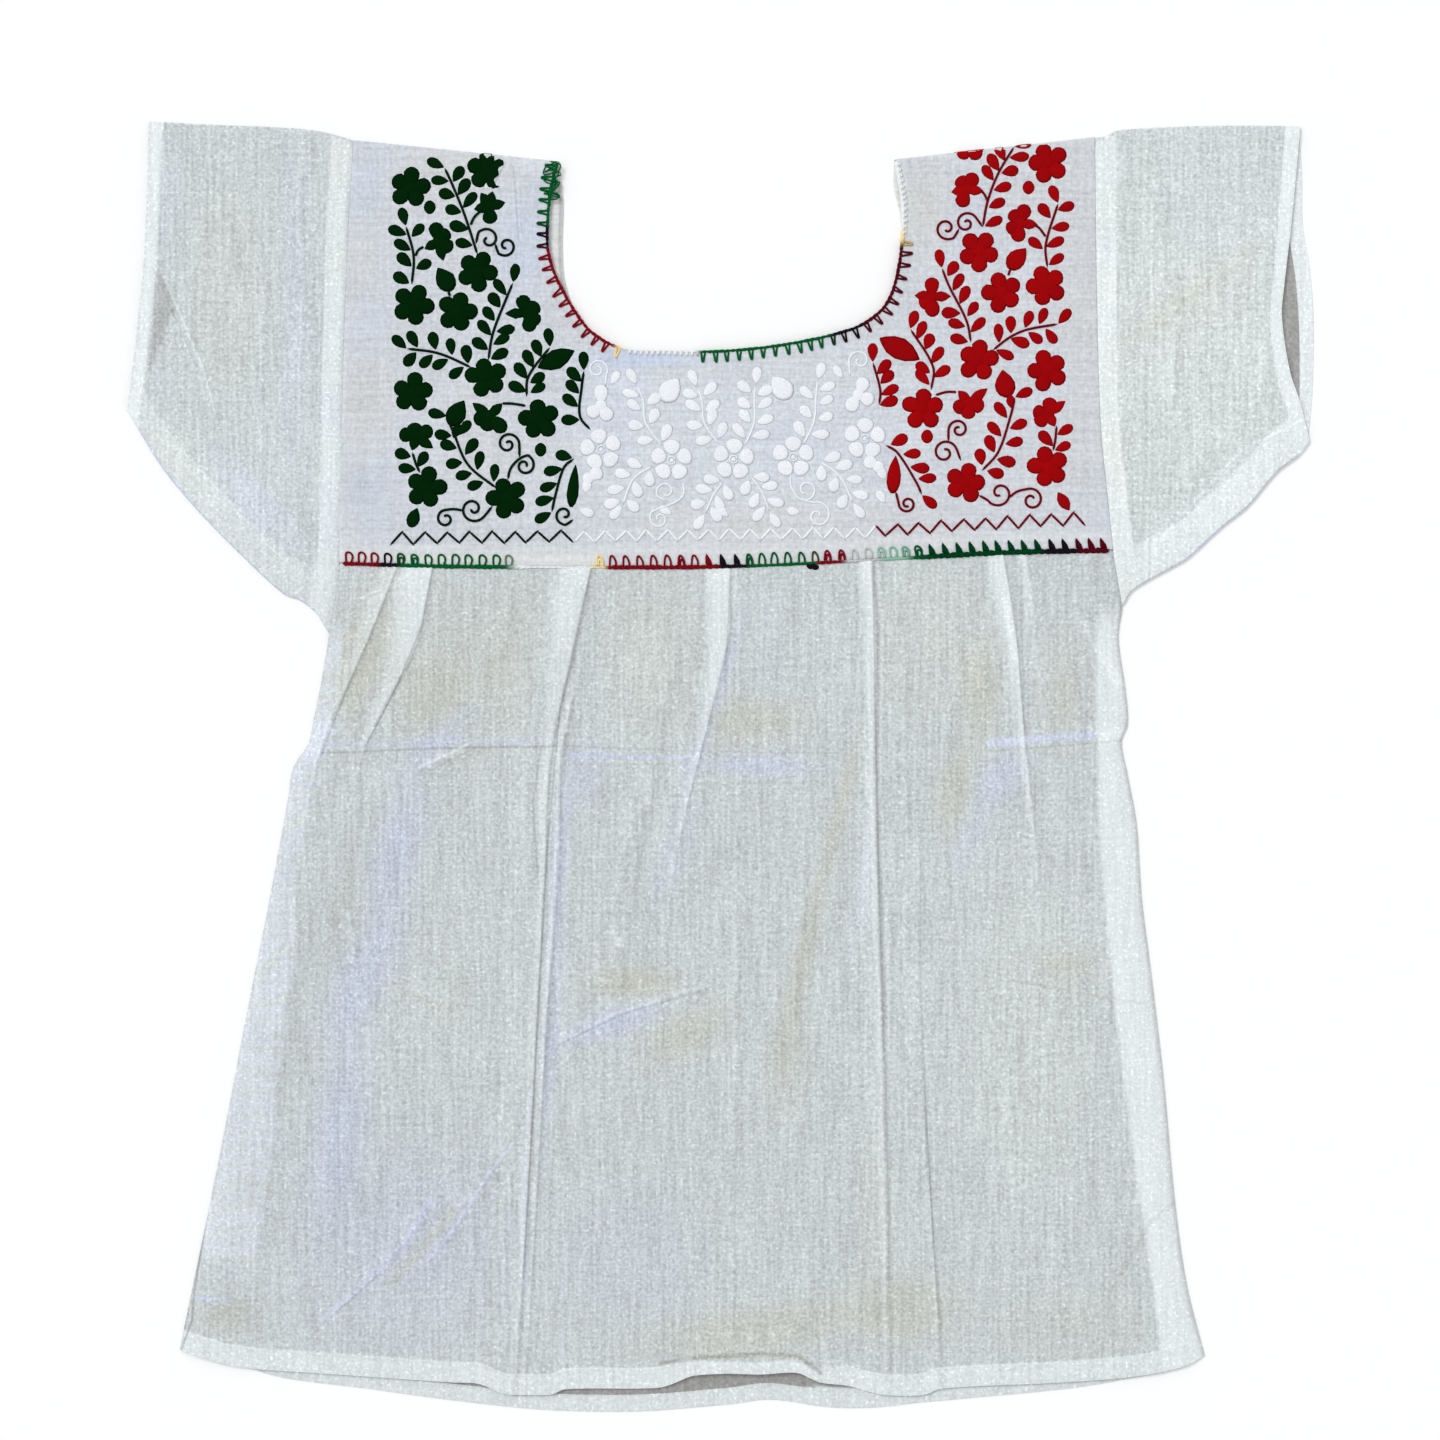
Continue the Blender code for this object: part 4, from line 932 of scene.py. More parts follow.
def yokeLayer(neckName, front):
    neck = Line(outline[neckName])
    gap = layers["seamGap"] / 2
    edges = Line(outline["rightYokeEdge"], (gap, 0)), Line(outline["leftYokeEdge"], (-gap, 0))
    seam = Line(outline["yokeSeam"], (0, gap))
    down = np.arange(yoke["armholeSteps"]) / yoke["armholeSteps"]
    over = np.arange(yoke["seamSteps"] + 1) / yoke["seamSteps"]
    corner = yoke["neckCorner"]
    up = np.concatenate([down[1:], [1.0]])
    outer = np.vstack([edges[0].at(down), seam.at(over), edges[1].at(1 - up)])
    shares = np.concatenate([down * corner, mix(corner, 1 - corner, over), 1 - corner * (1 - up)])
    inner = neck.at(shares)
    ways = np.concatenate([[0, 0.006, 0.014, 0.028], np.linspace(0.045, 0.955, yoke["rows"]),
                           [0.975, 0.988, 0.996, 1.0]])
    flat = mix(inner[:, None], outer[:, None], ways[None, :, None])
    x, y = flat[..., 0], flat[..., 1]
    span = np.linalg.norm(outer - inner, axis=1)[:, None]
    fromEdge = (1 - ways)[None, :] * span
    fromNeck = ways[None, :] * span
    band = 0.4 * ease((yoke["allowance"] - (y - seam.yAt(x))) / (2 * mm))
    band = band + 0.25 * (1 - ease(fromNeck / yoke["calmRim"]))
    tint, level = wash(x, y, yoke["washes"])
    tint += 0.25 * ripple(x, y, *yoke["tintWave"])
    dark = 0.0
    if front:
        sewn = 1 - ease(fromEdge / yoke["sewnEdge"])
        lift = yokeLift(x, y) * ease(fromNeck / yoke["calmRim"]) * ease(fromEdge / yoke["calmRim"])
        z = layers["frontLevel"] + lift - sewn * layers["seamDip"] * 0.6
        z = z + yoke["neckRise"] * (1 - ease(fromNeck / yoke["neckEdge"]))
        shoulders = np.minimum(np.arange(len(x)), np.arange(len(x))[::-1])[:, None] / 3.0
        z = mix(layers["frontLevel"], z, ease(shoulders))
    else:
        z = np.full(x.shape, layers["backLevel"] + yoke["backRise"])
        # the back's inside, seen through the neck: painted shade deeper away from the opening, lighter and
        # warmer near it
        dark = ease(fromNeck / yoke["insideNeck"])
        tint, level, dark = tint - 0.8 * (1 - dark), level + 0.16 * (1 - dark), 0.6 * dark
    return np.stack([x, y, z], axis=-1), shadeMap(x, np.clip(band, 0, 1), dark, tint, level)


def makeYoke():
    front, frontShade = yokeLayer("neckFront", True)
    back, backShade = yokeLayer("neckBack", False)
    rings, tones = [front], [frontShade]
    backLevel = layers["backLevel"] + yoke["backRise"]
    for end, order in ((-1, 1), (0, -1)):     # over one shoulder, along the back and over the other
        pairs = zip(front[end, :, :2], back[end, :, :2])
        bends = np.array([roll(near, far, (0, 1), layers["frontLevel"], backLevel) for near, far in pairs])
        bends = bends.transpose(1, 0, 2)[::order]
        rings.append(bends)
        tones.append(np.broadcast_to(frontShade[end], bends.shape[:2] + (4,)))
        if order == 1:
            rings.append(back[::-1])
            tones.append(backShade[::-1])
    rings.append(front[:1])
    tones.append(frontShade[:1])
    return np.vstack(rings), np.vstack(tones)


yokeCloth = sheetPiece("yokeCloth", *makeYoke(), layers["denseCloth"], yokeCotton)
dress(yokeCloth, "yoke")
print("yoke made:", len(yokeCloth.data.vertices), "points")


# Thread and pads: every stitch is a tube or a low cushion in one growing mesh

class Stitching:
    def __init__(self, seed):
        self.bm = bmesh.new()
        # along the thread in mm, rim, own tone
        self.thread = self.bm.verts.layers.float_color.new("thread")
        self.dye = self.bm.verts.layers.float_color.new("dye")
        self.chance = random.Random(seed)

    def tube(self, points, radius, dye=(1, 1, 1, 1), sides=6):     # dye is one colour or one for each point
        points = np.asarray(points, dtype=float)
        count = len(points)
        ways = np.gradient(points, axis=0)
        ways /= np.linalg.norm(ways, axis=1)[:, None] + 1e-12
        across = np.cross(ways, (0, 0, 1))
        across /= np.linalg.norm(across, axis=1)[:, None] + 1e-12
        up = np.cross(across, ways)
        thick = np.broadcast_to(radius, (count,)).copy()
        thick[[0, -1]] = 0
        dyes = np.broadcast_to(dye, (count, 4))
        run = np.concatenate([[0.0], np.cumsum(np.linalg.norm(np.diff(points, axis=0), axis=1))]) / mm
        tone = self.chance.random()
        made = bmesh.ops.create_grid(self.bm, x_segments=count - 1, y_segments=sides, size=0.5)["verts"]
        for vert in made:
            step, turn = round((vert.co.x + 0.5) * (count - 1)), round((vert.co.y + 0.5) * sides)
            angle = 2 * math.pi * turn / sides
            spread = across[step] * math.cos(angle) + up[step] * math.sin(angle)
            vert[self.thread] = (run[step], 0.0, tone, 1.0)
            vert[self.dye] = dyes[step]
            vert.co = points[step] + spread * thick[step]
        bmesh.ops.remove_doubles(self.bm, verts=made, dist=mm / 10000)

    def pad(self, place, spot, turn, length, width, form, height, dye=(1, 1, 1, 1)):
        # form: where it is widest, and how pointed its foot and its tip are
        full, foot, tip = form
        tone = self.chance.random()
        corners = 14
        rough = np.array([self.chance.uniform(-0.04, 0.04) for corner in range(corners)])
        made = bmesh.ops.create_uvsphere(self.bm, u_segments=corners, v_segments=4, radius=1)["verts"]
        unit = np.array([vert.co[:] for vert in made])
        along = (unit[:, 0] + 1) / 2
        sideways = unit[:, 1] / np.sqrt(np.maximum(1e-6, 1 - unit[:, 0] ** 2))
        rising = np.sin(np.clip(along / full, 0, 1) * math.pi / 2) ** foot
        falling = np.cos(np.clip((along - full) / (1 - full), 0, 1) * math.pi / 2) ** tip
        half = np.where(along < full, rising, falling) * width / 2
        turnShare = np.arctan2(unit[:, 1], unit[:, 0]) / (2 * math.pi) % 1
        half = half * (1 + rough[np.round(turnShare * corners).astype(int) % corners])
        x, y = along * length, np.clip(sideways, -1, 1) * half
        angle = math.radians(turn)
        flatX = spot[0] + x * math.cos(angle) - y * math.sin(angle)
        flatY = spot[1] + x * math.sin(angle) + y * math.cos(angle)
        dome = np.maximum(unit[:, 2], 0) ** 0.75
        lift = np.where(unit[:, 2] > 0, dome * height, unit[:, 2] * 0.15)     # nearly flat underneath
        places = place(flatX * mm, flatY * mm, (lift - 0.05) * mm)
        rim = 1 - dome
        for vert, spot3, reach, edge in zip(made, places, x, rim):
            vert.co = spot3
            vert[self.thread] = (reach, edge, tone, 1.0)
            vert[self.dye] = dye

    def piece(self, name, material, slotName):
        bmesh.ops.recalc_face_normals(self.bm, faces=self.bm.faces)
        dress(placed(name, self.bm, material), None)


threadLook = {
    "twist": 2.6,                # turns of its two plies for each mm
    "fuzz": 1300.0,              # cycles for each metre
    "roughness": 0.6, "gloss": 0.02, "bump": 0.35, "bumpReach": 0.2 * mm,
}


def makeThread(name, colours=None):     # a colour and a deeper one, or else the dye kept in the mesh
    shader = Shader(name)
    along, rim, tone = shader.masks("thread")[:3]
    turns = (along * (2 * math.pi * threadLook["twist"])).wave() * 0.5 + 0.5
    fuzz = shader.grain((threadLook["fuzz"],) * 3, 2.0)
    if colours:
        # darker towards a pad's rim: partly the stitched outline, partly painted shade where the cushion
        # slopes down; the rest is tone at random
        share = (rim * rim * 0.7 + (tone - 0.5) * 0.3 + 0.1).over(0.0).under(1.0)
        base = shader.blend(share, *colours)
    else:
        base = shader.node("Attribute", {"attribute_name": "dye"}, output="Color")
    # lighter on the crown of each ply and stitch: painted shade in the grooves between them, with fuzz at
    # random
    base = shader.lit(base, turns * 0.16 + fuzz * 0.5 + 0.67)
    return shader.finish(base, threadLook, turns + fuzz * 0.6)


# Embroidery on the yoke: flowers, sprigs, buds and scrolls, in mm

shoulderLines = [[(-209.1, 356.0), (-93.0, 344.0)], [(99.5, 345.0), (212.7, 357.7)]]


def onYoke(x, y, lift):     # flat places in metres to places on the front, over the fold at the shoulder
    x, y, lift = np.broadcast_arrays(np.asarray(x, float), np.asarray(y, float), np.asarray(lift, float))
    ends = [np.array(line) * mm for line in shoulderLines]
    fold = np.where(x < 0, np.interp(x, ends[0][:, 0], ends[0][:, 1]),
                    np.interp(x, ends[1][:, 0], ends[1][:, 1]))
    below = fold - y
    top = layers["frontLevel"] + layers["denseCloth"] / 2
    relief = yokeLift(x, y) * ease(below / yoke["calmRim"])
    radius = (layers["frontLevel"] - layers["backLevel"]) / 2
    angle = np.clip(-below / radius, 0, 1.7)
    reach = radius + layers["denseCloth"] / 2 + lift
    over = below < 0
    z = np.where(over, layers["frontLevel"] - radius + reach * np.cos(angle), top + relief + lift)
    flatY = np.where(over, fold + reach * np.sin(angle), y)
    (footX, footY), (topX, topY) = yoke["flapFoot"], yoke["flapTop"]
    flap = np.interp(y, [footY, topY], [footX, topX])
    z = np.where((x > flap) & (x < yoke["flapEdge"]) & (y > footY), z - yoke["flapDepth"], z)
    return np.stack([x, flatY, z], axis=-1)


forms = {     # as Stitching.pad takes them
    "petal": (0.64, 0.7, 0.5), "openPetal": (0.62, 0.6, 0.45), "point": (0.46, 0.6, 1.0),
    "berry": (0.5, 0.5, 0.5),
    "leaf": (0.64, 0.85, 0.48), "bud": (0.42, 0.5, 0.95), "lens": (0.5, 0.9, 0.95),
}
stitchSizes = {     # in mm; pads as length, width and height
    "petal": (12.1, 9.8, 0.5), "centre": (8.8, 8.8, 0.52),
    "openPetal": (9.8, 10.8, 0.36), "openCentre": (3.0, 3.0, 0.5),
    "openFoot": 2.6, "ring": 2.2, "ringThread": 0.4,
    "sidePoint": 6.4, "sideRound": 9.0, "sideHeight": 0.5, "sideOver": 0.6, "sideCentre": (7.6, 7.6, 0.52),
    "leaf": (11.2, 6.7, 0.45), "tipLeaf": (11.2, 6.4, 0.45), "lean": 57, "leafMiddle": 0.57, "stemStep": 2.2,
    "budHeight": 0.45, "berry": (8.4, 7.2, 0.45),
    "stemLift": 0.12, "scrollLift": 0.15, "scrollSteps": 22, "zigzag": 0.68,
}


def placePad(work, spot, turn, sizes, form):     # a pad of a fixed size
    length, width, height = sizes
    work.pad(onYoke, spot, turn, length, width, forms[form], height)


def centrePad(work, x, y, sizes):     # a round pad with its middle at x, y
    placePad(work, (x - sizes[0] / 2, y), 0, sizes, "berry")


def layThread(work, flat, lift, radius):     # a line of thread over flat places in metres
    work.tube(onYoke(flat[:, 0], flat[:, 1], lift * mm), radius)


def flower(work, x, y, turn):
    length, width, height = stitchSizes["petal"]
    for index in range(5):
        angle = turn + index * 72 + work.chance.uniform(-5, 5)
        placePad(work, (x, y), angle, (length * work.chance.uniform(0.94, 1.06), width, height), "petal")
    centrePad(work, x, y, stitchSizes["centre"])


def openFlower(work, x, y, turn):     # a ring in the middle, and petals that start outside it
    for index in range(5):
        angle, out = math.radians(turn + index * 72), stitchSizes["openFoot"]
        foot = (x + out * math.cos(angle), y + out * math.sin(angle))
        placePad(work, foot, math.degrees(angle), stitchSizes["openPetal"], "openPetal")
    ring = np.linspace(0, 2 * math.pi, 17)
    radius = stitchSizes["ring"]
    flat = np.stack([x + radius * np.cos(ring), y + radius * np.sin(ring)], axis=-1) * mm
    layThread(work, flat, 0.3, stitchSizes["ringThread"] * mm)
    centrePad(work, x, y, stitchSizes["openCentre"])


def sideFlower(work, x, y, petals):     # petals: direction, length and whether it is pointed
    for angle, length, pointed in petals:
        width = stitchSizes["sidePoint" if pointed else "sideRound"]
        sizes = length + stitchSizes["sideOver"], width, stitchSizes["sideHeight"]
        placePad(work, (x, y), angle, sizes, "point" if pointed else "petal")
    centrePad(work, x, y, stitchSizes["sideCentre"])


def heading(ahead):     # the direction of a flat vector in degrees
    return math.degrees(math.atan2(ahead[1], ahead[0]))


def sprig(pads, lines, radius, stem, left, right, tipLean):     # leaves: how many, first and last foot, reach
    line = Line(stem)
    steps = max(8, int(line.length / (stitchSizes["stemStep"] * mm)))
    layThread(lines, line.at(np.linspace(0, 1, steps)), stitchSizes["stemLift"], radius)
    leafLength, leafWidth, height = stitchSizes["leaf"]
    for side, leaves in ((1, left), (-1, right)):
        if leaves:
            count, first, last, reach = leaves
            for share in np.linspace(first, last, count) if count > 1 else [first]:
                ahead = line.at(min(1, share + 0.03)) - line.at(max(0, share - 0.03))
                turn = heading(ahead) + side * (stitchSizes["lean"] + pads.chance.uniform(-7, 7))
                length = leafLength * pads.chance.uniform(0.9, 1.08)
                gap = reach - length * stitchSizes["leafMiddle"]
                way = np.array([math.cos(math.radians(turn)), math.sin(math.radians(turn))])
                width = leafWidth * pads.chance.uniform(0.9, 1.1)
                placePad(pads, line.at(share) / mm + gap * way, turn, (length, width, height), "leaf")
    if tipLean is not None:
        turn = heading(line.at(1.0) - line.at(0.95)) + tipLean
        placePad(pads, line.at(1.0) / mm, turn, stitchSizes["tipLeaf"], "leaf")


def scroll(lines, radius, lead, centre, outer, inner, start, sweep):     # a lead, then a spiral that winds in
    shares = np.linspace(0, 1, stitchSizes["scrollSteps"])
    angles = np.radians(start + sweep * shares)
    radii = mix(outer, inner, shares)
    curl = np.stack([centre[0] + radii * np.cos(angles), centre[1] + radii * np.sin(angles)], axis=-1)
    flat = Line(list(lead) + [tuple(point) for point in curl], steps=3).points
    layThread(lines, flat, stitchSizes["scrollLift"], radius)


def zigzag(lines, first, last, low, high, pitch):     # low and high: heights at both ends
    count = round((last - first) / pitch * 2) + 1
    points = []
    for index in range(count):
        share = index / (count - 1)
        x = mix(first, last, share) + lines.chance.uniform(-0.5, 0.5)
        y = mix(*(low if index % 2 == 0 else high), share) + lines.chance.uniform(-0.35, 0.35)
        points.append((x, y))
    for (x1, y1), (x2, y2) in zip(points, points[1:]):     # every stitch reaches past the last one
        reach = np.linspace(-0.08, 1.14, 6)
        flat = np.stack([mix(x1, x2, reach), mix(y1, y2, reach)], axis=-1) * mm
        layThread(lines, flat, 0.1, stitchSizes["zigzag"] * mm)


panels = {
    "green": {
        "flowers": [(-176.6, 329.7, 8), (-133.3, 339.7, 15), (-138.4, 281.9, -6), (-174.9, 263.1, -3),
                    (-149.8, 259.1, 1), (-133.6, 221.7, 30), (-175.0, 213.2, 13), (-103.4, 198.1, 27),
                    (-167.5, 159.3, 3), (-121.6, 153.1, 38)],
        "sideFlowers": [
            (-131.6, 318.9, [(-88, 9.5, False), (15, 9, True), (78, 8.5, True), (122, 9, True),
                             (-170, 8.5, True)]),
            (-160.7, 299.0, [(100, 11, False), (50, 8.5, False), (-28, 9, False), (-75, 11, True),
                             (-152, 8.5, True)]),
            (-110.5, 258.2, [(105, 10.5, False), (38, 8.5, False), (-38, 9, False), (-76, 10.5, False),
                             (180, 12, True)]),
            (-131.6, 199.8, [(142, 12, True), (-165, 9, False), (-105, 8.5, False), (-43, 12.5, False),
                             (45, 10, True)]),
            (-173.3, 188.3, [(172, 9.5, False), (102, 7.5, False), (25, 10, False), (-35, 11.5, True),
                             (-106, 8, True)]),
        ],
        "links": [[(-142.3, 308.4), (-140.4, 312.6), (-136.4, 316.6)],
                  [(-173.7, 290.8), (-172.1, 294.1), (-169, 296.2)],
                  [(-110.9, 205.7), (-119.0, 206.9), (-124.3, 207.0)], [(-154.0, 268.2), (-155.0, 270.5)]],
        "sprigs": [
            ([(-138.4, 291.6), (-145.8, 314.4), (-153.2, 332.6), (-157.2, 341.1)], (5, 0.10, 0.84, 7.0),
             (3, 0.52, 0.81, 7.2), 40),
            ([(-175.8, 274.5), (-174.7, 290.8), (-179.1, 307.9)], (4, 0.0, 0.84, 7.6), (2, 0.25, 0.78, 7.2),
             0),
            ([(-132.3, 231.5), (-129.6, 247.1), (-121.4, 268.2), (-118.2, 275.6)], (5, 0.12, 0.82, 7.3),
             (3, 0.0, 0.35, 8.0), 15),
            ([(-141.7, 227.3), (-155.5, 233.7), (-164.4, 236.4), (-178.6, 238.1)], (4, 0.09, 0.83, 7.6),
             (4, 0.05, 0.82, 7.8), -35),
            ([(-110.5, 210.6), (-109.6, 222.1), (-97.1, 239.1)], (4, 0.09, 0.76, 6.7), (2, 0.04, 0.21, 8.0),
             45),
            ([(-74.0, 191.8), (-80.2, 199.8), (-79.1, 216.8), (-77.9, 225.7)], (4, 0.22, 0.81, 7.1), None,
             10),
            ([(-127.8, 158.9), (-143.9, 172.3), (-151.9, 190.1), (-155.9, 199.8)], (5, 0.13, 0.76, 7.6),
             (4, 0.04, 0.74, 8.2), 55),
            ([(-171.0, 167.4), (-173.3, 172.3), (-175.5, 179.4)], (2, 0.17, 0.74, 7.3),
             (1, 0.27, 0.27, 6.2), None),
            ([(-83.3, 175.8), (-89.1, 170.9), (-94.0, 155.3), (-96.2, 145.1)], None, (4, 0.0, 0.75, 6.9),
             -50),
        ],
        "buds": [(-152.6, 270.6, 122, 16.5, 12.0, "bud"), (-152.2, 187.0, 68, 10, 6, "lens"),
                 (-154.5, 194.0, 60, 17.5, 12.0, "bud"),
                 (-104.8, 227.0, 25, 24.5, 12.0, "lens"), (-82.5, 173.0, -96, 26.0, 7.2, "leaf"),
                 (-176.8, 136.2, 70, 12.5, 8.2, "bud")],
        "berries": [(-165.6, 318.6), (-102.5, 180.7)],
        "scrolls": [
            ([(-139.3, 297.5)], (-132.5, 300.2), 6.7, 0.9, 143, -385),
            ([(-128.5, 298.4)], (-122.2, 296.6), 6.0, 1.0, -136, 415),
            ([(-129.6, 149.1)], (-140.9, 147.0), 7.6, 0.8, -32, -501),
            ([(-146.2, 146.0), (-151.9, 146.9)], (-156.4, 141.4), 5.0, 1.5, 110, 378),
            ([(-121.2, 163.4), (-119.8, 169.6), (-115.4, 174.9)], (-111.7, 171.7), 6.0, 0.8, 74, -468),
            ([(-114.5, 176.2)], (-121.1, 183.9), 6.7, 0.8, -14, 518),
            ([(-83.8, 141.1)], (-88.9, 143.7), 5.7, 0.8, -83, -394),
        ],
        "zigzag": (-187.5, -85.0, (126.8, 128.3), (133.6, 134.6), 12.8),
    },
    "red": {
        "flowers": [(186.1, 344.0, 36), (146.9, 293.4, -17), (159.7, 270.3, 35), (185.2, 274.1, 38),
                    (146.4, 231.4, 10),
                    (185.7, 225.8, 33), (114.8, 204.1, 18), (138.9, 162.0, 3), (186.1, 170.9, 35)],
        "sideFlowers": [
            (139.7, 328.9, [(60, 10, False), (122, 8, False), (-168, 8.5, True), (-108, 10.5, False),
                            (-8, 9.5, True)]),
            (170.1, 309.5, [(72, 11, False), (126, 8.5, False), (-146, 8.5, False), (-98, 10.5, False),
                            (-6, 10, True)]),
            (120.0, 267.9, [(90, 10.5, False), (177, 9.5, True), (0, 10.5, True), (-132, 8.5, False),
                            (-88, 11.5, False)]),
            (141.2, 207.4, [(132, 9, True), (-157, 9.5, False), (-95, 9, False), (-18, 8.5, False),
                            (38, 13, True)]),
            (186.1, 201.2, [(172, 8.5, False), (80, 9, False), (36, 12, True), (-138, 9, False),
                            (-62, 8, True)]),
            (141.2, 353.9, [(-128, 9, False), (-52, 9.5, False), (-6, 9, False), (-176, 9, True)]),
        ],
        "links": [[(151.6, 321.8), (150.0, 325.5), (147.7, 328.3)],
                  [(184.7, 301.8), (181.3, 306.4), (178.5, 308.7)],
                  [(122.1, 211.8), (128.3, 213.5), (134.0, 213.5)], [(163.4, 279.7), (164.4, 283.0)]],
        "sprigs": [
            ([(148.8, 307.1), (151.6, 321.8), (157.7, 337.8), (166.8, 353.0)], (3, 0.54, 0.80, 6.9),
             (5, 0.0, 0.85, 7.8), -42),
            ([(185.7, 284.0), (184.7, 297.2), (191.8, 320.9)], (2, 0.26, 0.73, 7.6), (4, 0.03, 0.88, 7.0),
             40),
            ([(142.2, 241.5), (139.8, 253.7), (129.4, 274.5), (125.7, 284.0)], (3, 0.0, 0.38, 7.8),
             (5, 0.12, 0.86, 7.4), -10),
            ([(119.5, 214.4), (120.7, 227.7), (107.7, 249.4)], (2, 0.05, 0.22, 8.2), (4, 0.20, 0.82, 6.4),
             -50),
            ([(154.4, 237.1), (164.4, 244.7), (173.8, 248.9), (191.8, 252.2)], (4, 0.12, 0.72, 7.6),
             (4, 0.03, 0.80, 7.6), 40),
            ([(148.3, 168.6), (157.7, 179.4), (164.8, 200.2), (167.2, 210.6)], (4, 0.02, 0.71, 8.2),
             (4, 0.02, 0.59, 8.2), -55),
            ([(89.9, 205.9), (90.7, 214.4), (86.4, 230.5)], None, (4, 0.0, 0.70, 6.8), -15),
            ([(93.5, 183.3), (100.1, 179.4), (111.5, 161.5), (114.3, 154.9)], (4, 0.04, 0.72, 8.2), None, 28),
            ([(188.8, 179.8), (190.2, 186.7), (190.9, 194.7)], (1, 0.16, 0.16, 7.3), (2, 0.0, 0.60, 6.9),
             None),
        ],
        "buds": [(163.2, 283.0, 50, 16.5, 11.5, "bud"), (163.0, 209.8, 100, 17.0, 12.4, "bud"),
                 (165.2, 204.0, 95, 9, 5.5, "lens"),
                 (89.5, 244.5, -28, 27.5, 13.5, "lens"), (99.5, 178.0, -95, 23.0, 8.6, "leaf"),
                 (191.5, 156.8, -58, 13.0, 7.2, "lens")],
        "berries": [(175.0, 329.8), (117.3, 188.2)],
        "scrolls": [
            ([(148.8, 307.1)], (139.5, 309.5), 6.4, 0.8, 25, 481),
            ([(135.6, 306.7)], (128.3, 306.6), 6.7, 1.1, -52, -437),
            ([(146.4, 154.9)], (158.3, 156.1), 7.9, 1.0, -150, 439),
            ([(163.4, 153.0), (168.2, 156.8)], (176.6, 152.2), 6.5, 1.5, 106, -439),
            ([(136.5, 174.2)], (127.3, 179.1), 7.1, 1.6, 11, 454),
            ([(129.4, 185.1)], (135.2, 192.2), 5.8, 1.0, -175, -480),
            ([(99.2, 157.7)], (106.0, 149.9), 4.9, 1.2, 177, 487),
        ],
        "zigzag": (87.6, 207.0, (137.8, 145.6), (131.6, 138.4), 12.6),
    },
    "white": {
        "flowers": [(-68.2, 180.8, 27), (-28.0, 174.6, 17), (7.2, 175.2, 13), (41.2, 176.5, 18),
                    (81.9, 187.0, 16)],
        "sideFlowers": [
            (-68.2, 206.0, [(90, 12, False), (-140, 9.5, False), (-58, 10, False)]),
            (78.2, 212.0, [(68, 10.5, False), (-122, 11, False), (-25, 9.5, False)]),
            (-75.5, 164.5, [(30, 9, False), (-100, 8.5, True)]),
            (89.5, 171.0, [(150, 9, False), (-60, 8, True)]),
        ],
        "links": [],
        "sprigs": [
            ([(-33.0, 182.6), (-42.9, 196.3), (-44.1, 208.6), (-47.8, 217.5)], (4, 0.13, 0.81, 7.5),
             (3, 0.04, 0.66, 7.8), 5),
            ([(-0.8, 183.3), (-9.5, 196.3), (-10.7, 208.6), (-13.6, 216.3)], (4, 0.13, 0.84, 6.9),
             (4, 0.06, 0.81, 7.9), 0),
            ([(13.4, 182.6), (19.0, 196.3), (19.0, 209.8), (19.8, 217.5)], (4, 0.10, 0.85, 7.8),
             (4, 0.16, 0.81, 7.8), 0),
            ([(46.7, 183.3), (52.9, 196.3), (54.2, 212.3), (55.1, 220.3)], (3, 0.09, 0.69, 7.6),
             (4, 0.17, 0.83, 7.6), -10),
            ([(-38.6, 171.5), (-49.7, 164.1), (-55.8, 149.3)], (3, 0.07, 0.86, 6.8), (4, 0.14, 0.89, 8.2),
             -20),
            ([(1.6, 162.8), (-3.9, 155.4), (-8.9, 144.3)], (3, 0.02, 0.74, 7.4), (3, 0.0, 0.66, 7.6), -10),
            ([(17.1, 165.4), (23.3, 156.7), (27.7, 145.6)], (3, 0.0, 0.68, 6.8), (3, 0.0, 0.82, 7.6), 10),
            ([(56.6, 174.0), (67.7, 165.4), (75.2, 150.5)], (4, 0.01, 0.78, 7.8), (3, 0.03, 0.78, 6.8), 10),
        ],
        "buds": [(-33.5, 207.5, 56, 17.5, 13.5, "bud"), (40.0, 209.5, 130, 17.5, 13.5, "bud"),
                 (-62.5, 217.5, 60, 9.5, 5.5, "leaf"),
                 (69.5, 221.0, 125, 9.5, 5.5, "leaf"), (-27.5, 143.8, 150, 9, 5.5, "leaf"),
                 (4.5, 142.5, 140, 9, 5.8, "leaf"),
                 (45.5, 145.0, 170, 8.5, 5.5, "leaf"), (-81.0, 147.0, -20, 10, 6, "leaf"),
                 (93.5, 150.0, 120, 9, 6, "leaf")],
        "berries": [],
        "scrolls": [
            ([(-65.7, 216.6)], (-70.2, 226.3), 6.0, 1.4, -30, 483),
            ([(73.4, 222.2)], (79.0, 231.2), 6.4, 1.3, -159, -425),
            ([(-21.9, 162.8), (-21.0, 155.9), (-25.6, 151.0)], (-34.9, 141.5), 5.8, 1.0, 135, 429),
            ([(-30.1, 151.3)], (-31.3, 157.0), 5.5, 1.9, -148, -338),
            ([(39.9, 167.8), (39.7, 160.5)], (48.4, 157.9), 6.4, 2.2, -143, 394),
            ([(44.5, 153.0)], (55.1, 143.2), 8.1, 0.8, 112, -477),
        ],
        "zigzag": (-83.5, 88.0, (128.3, 130.5), (134.2, 137.0), 11.8),
    },
}
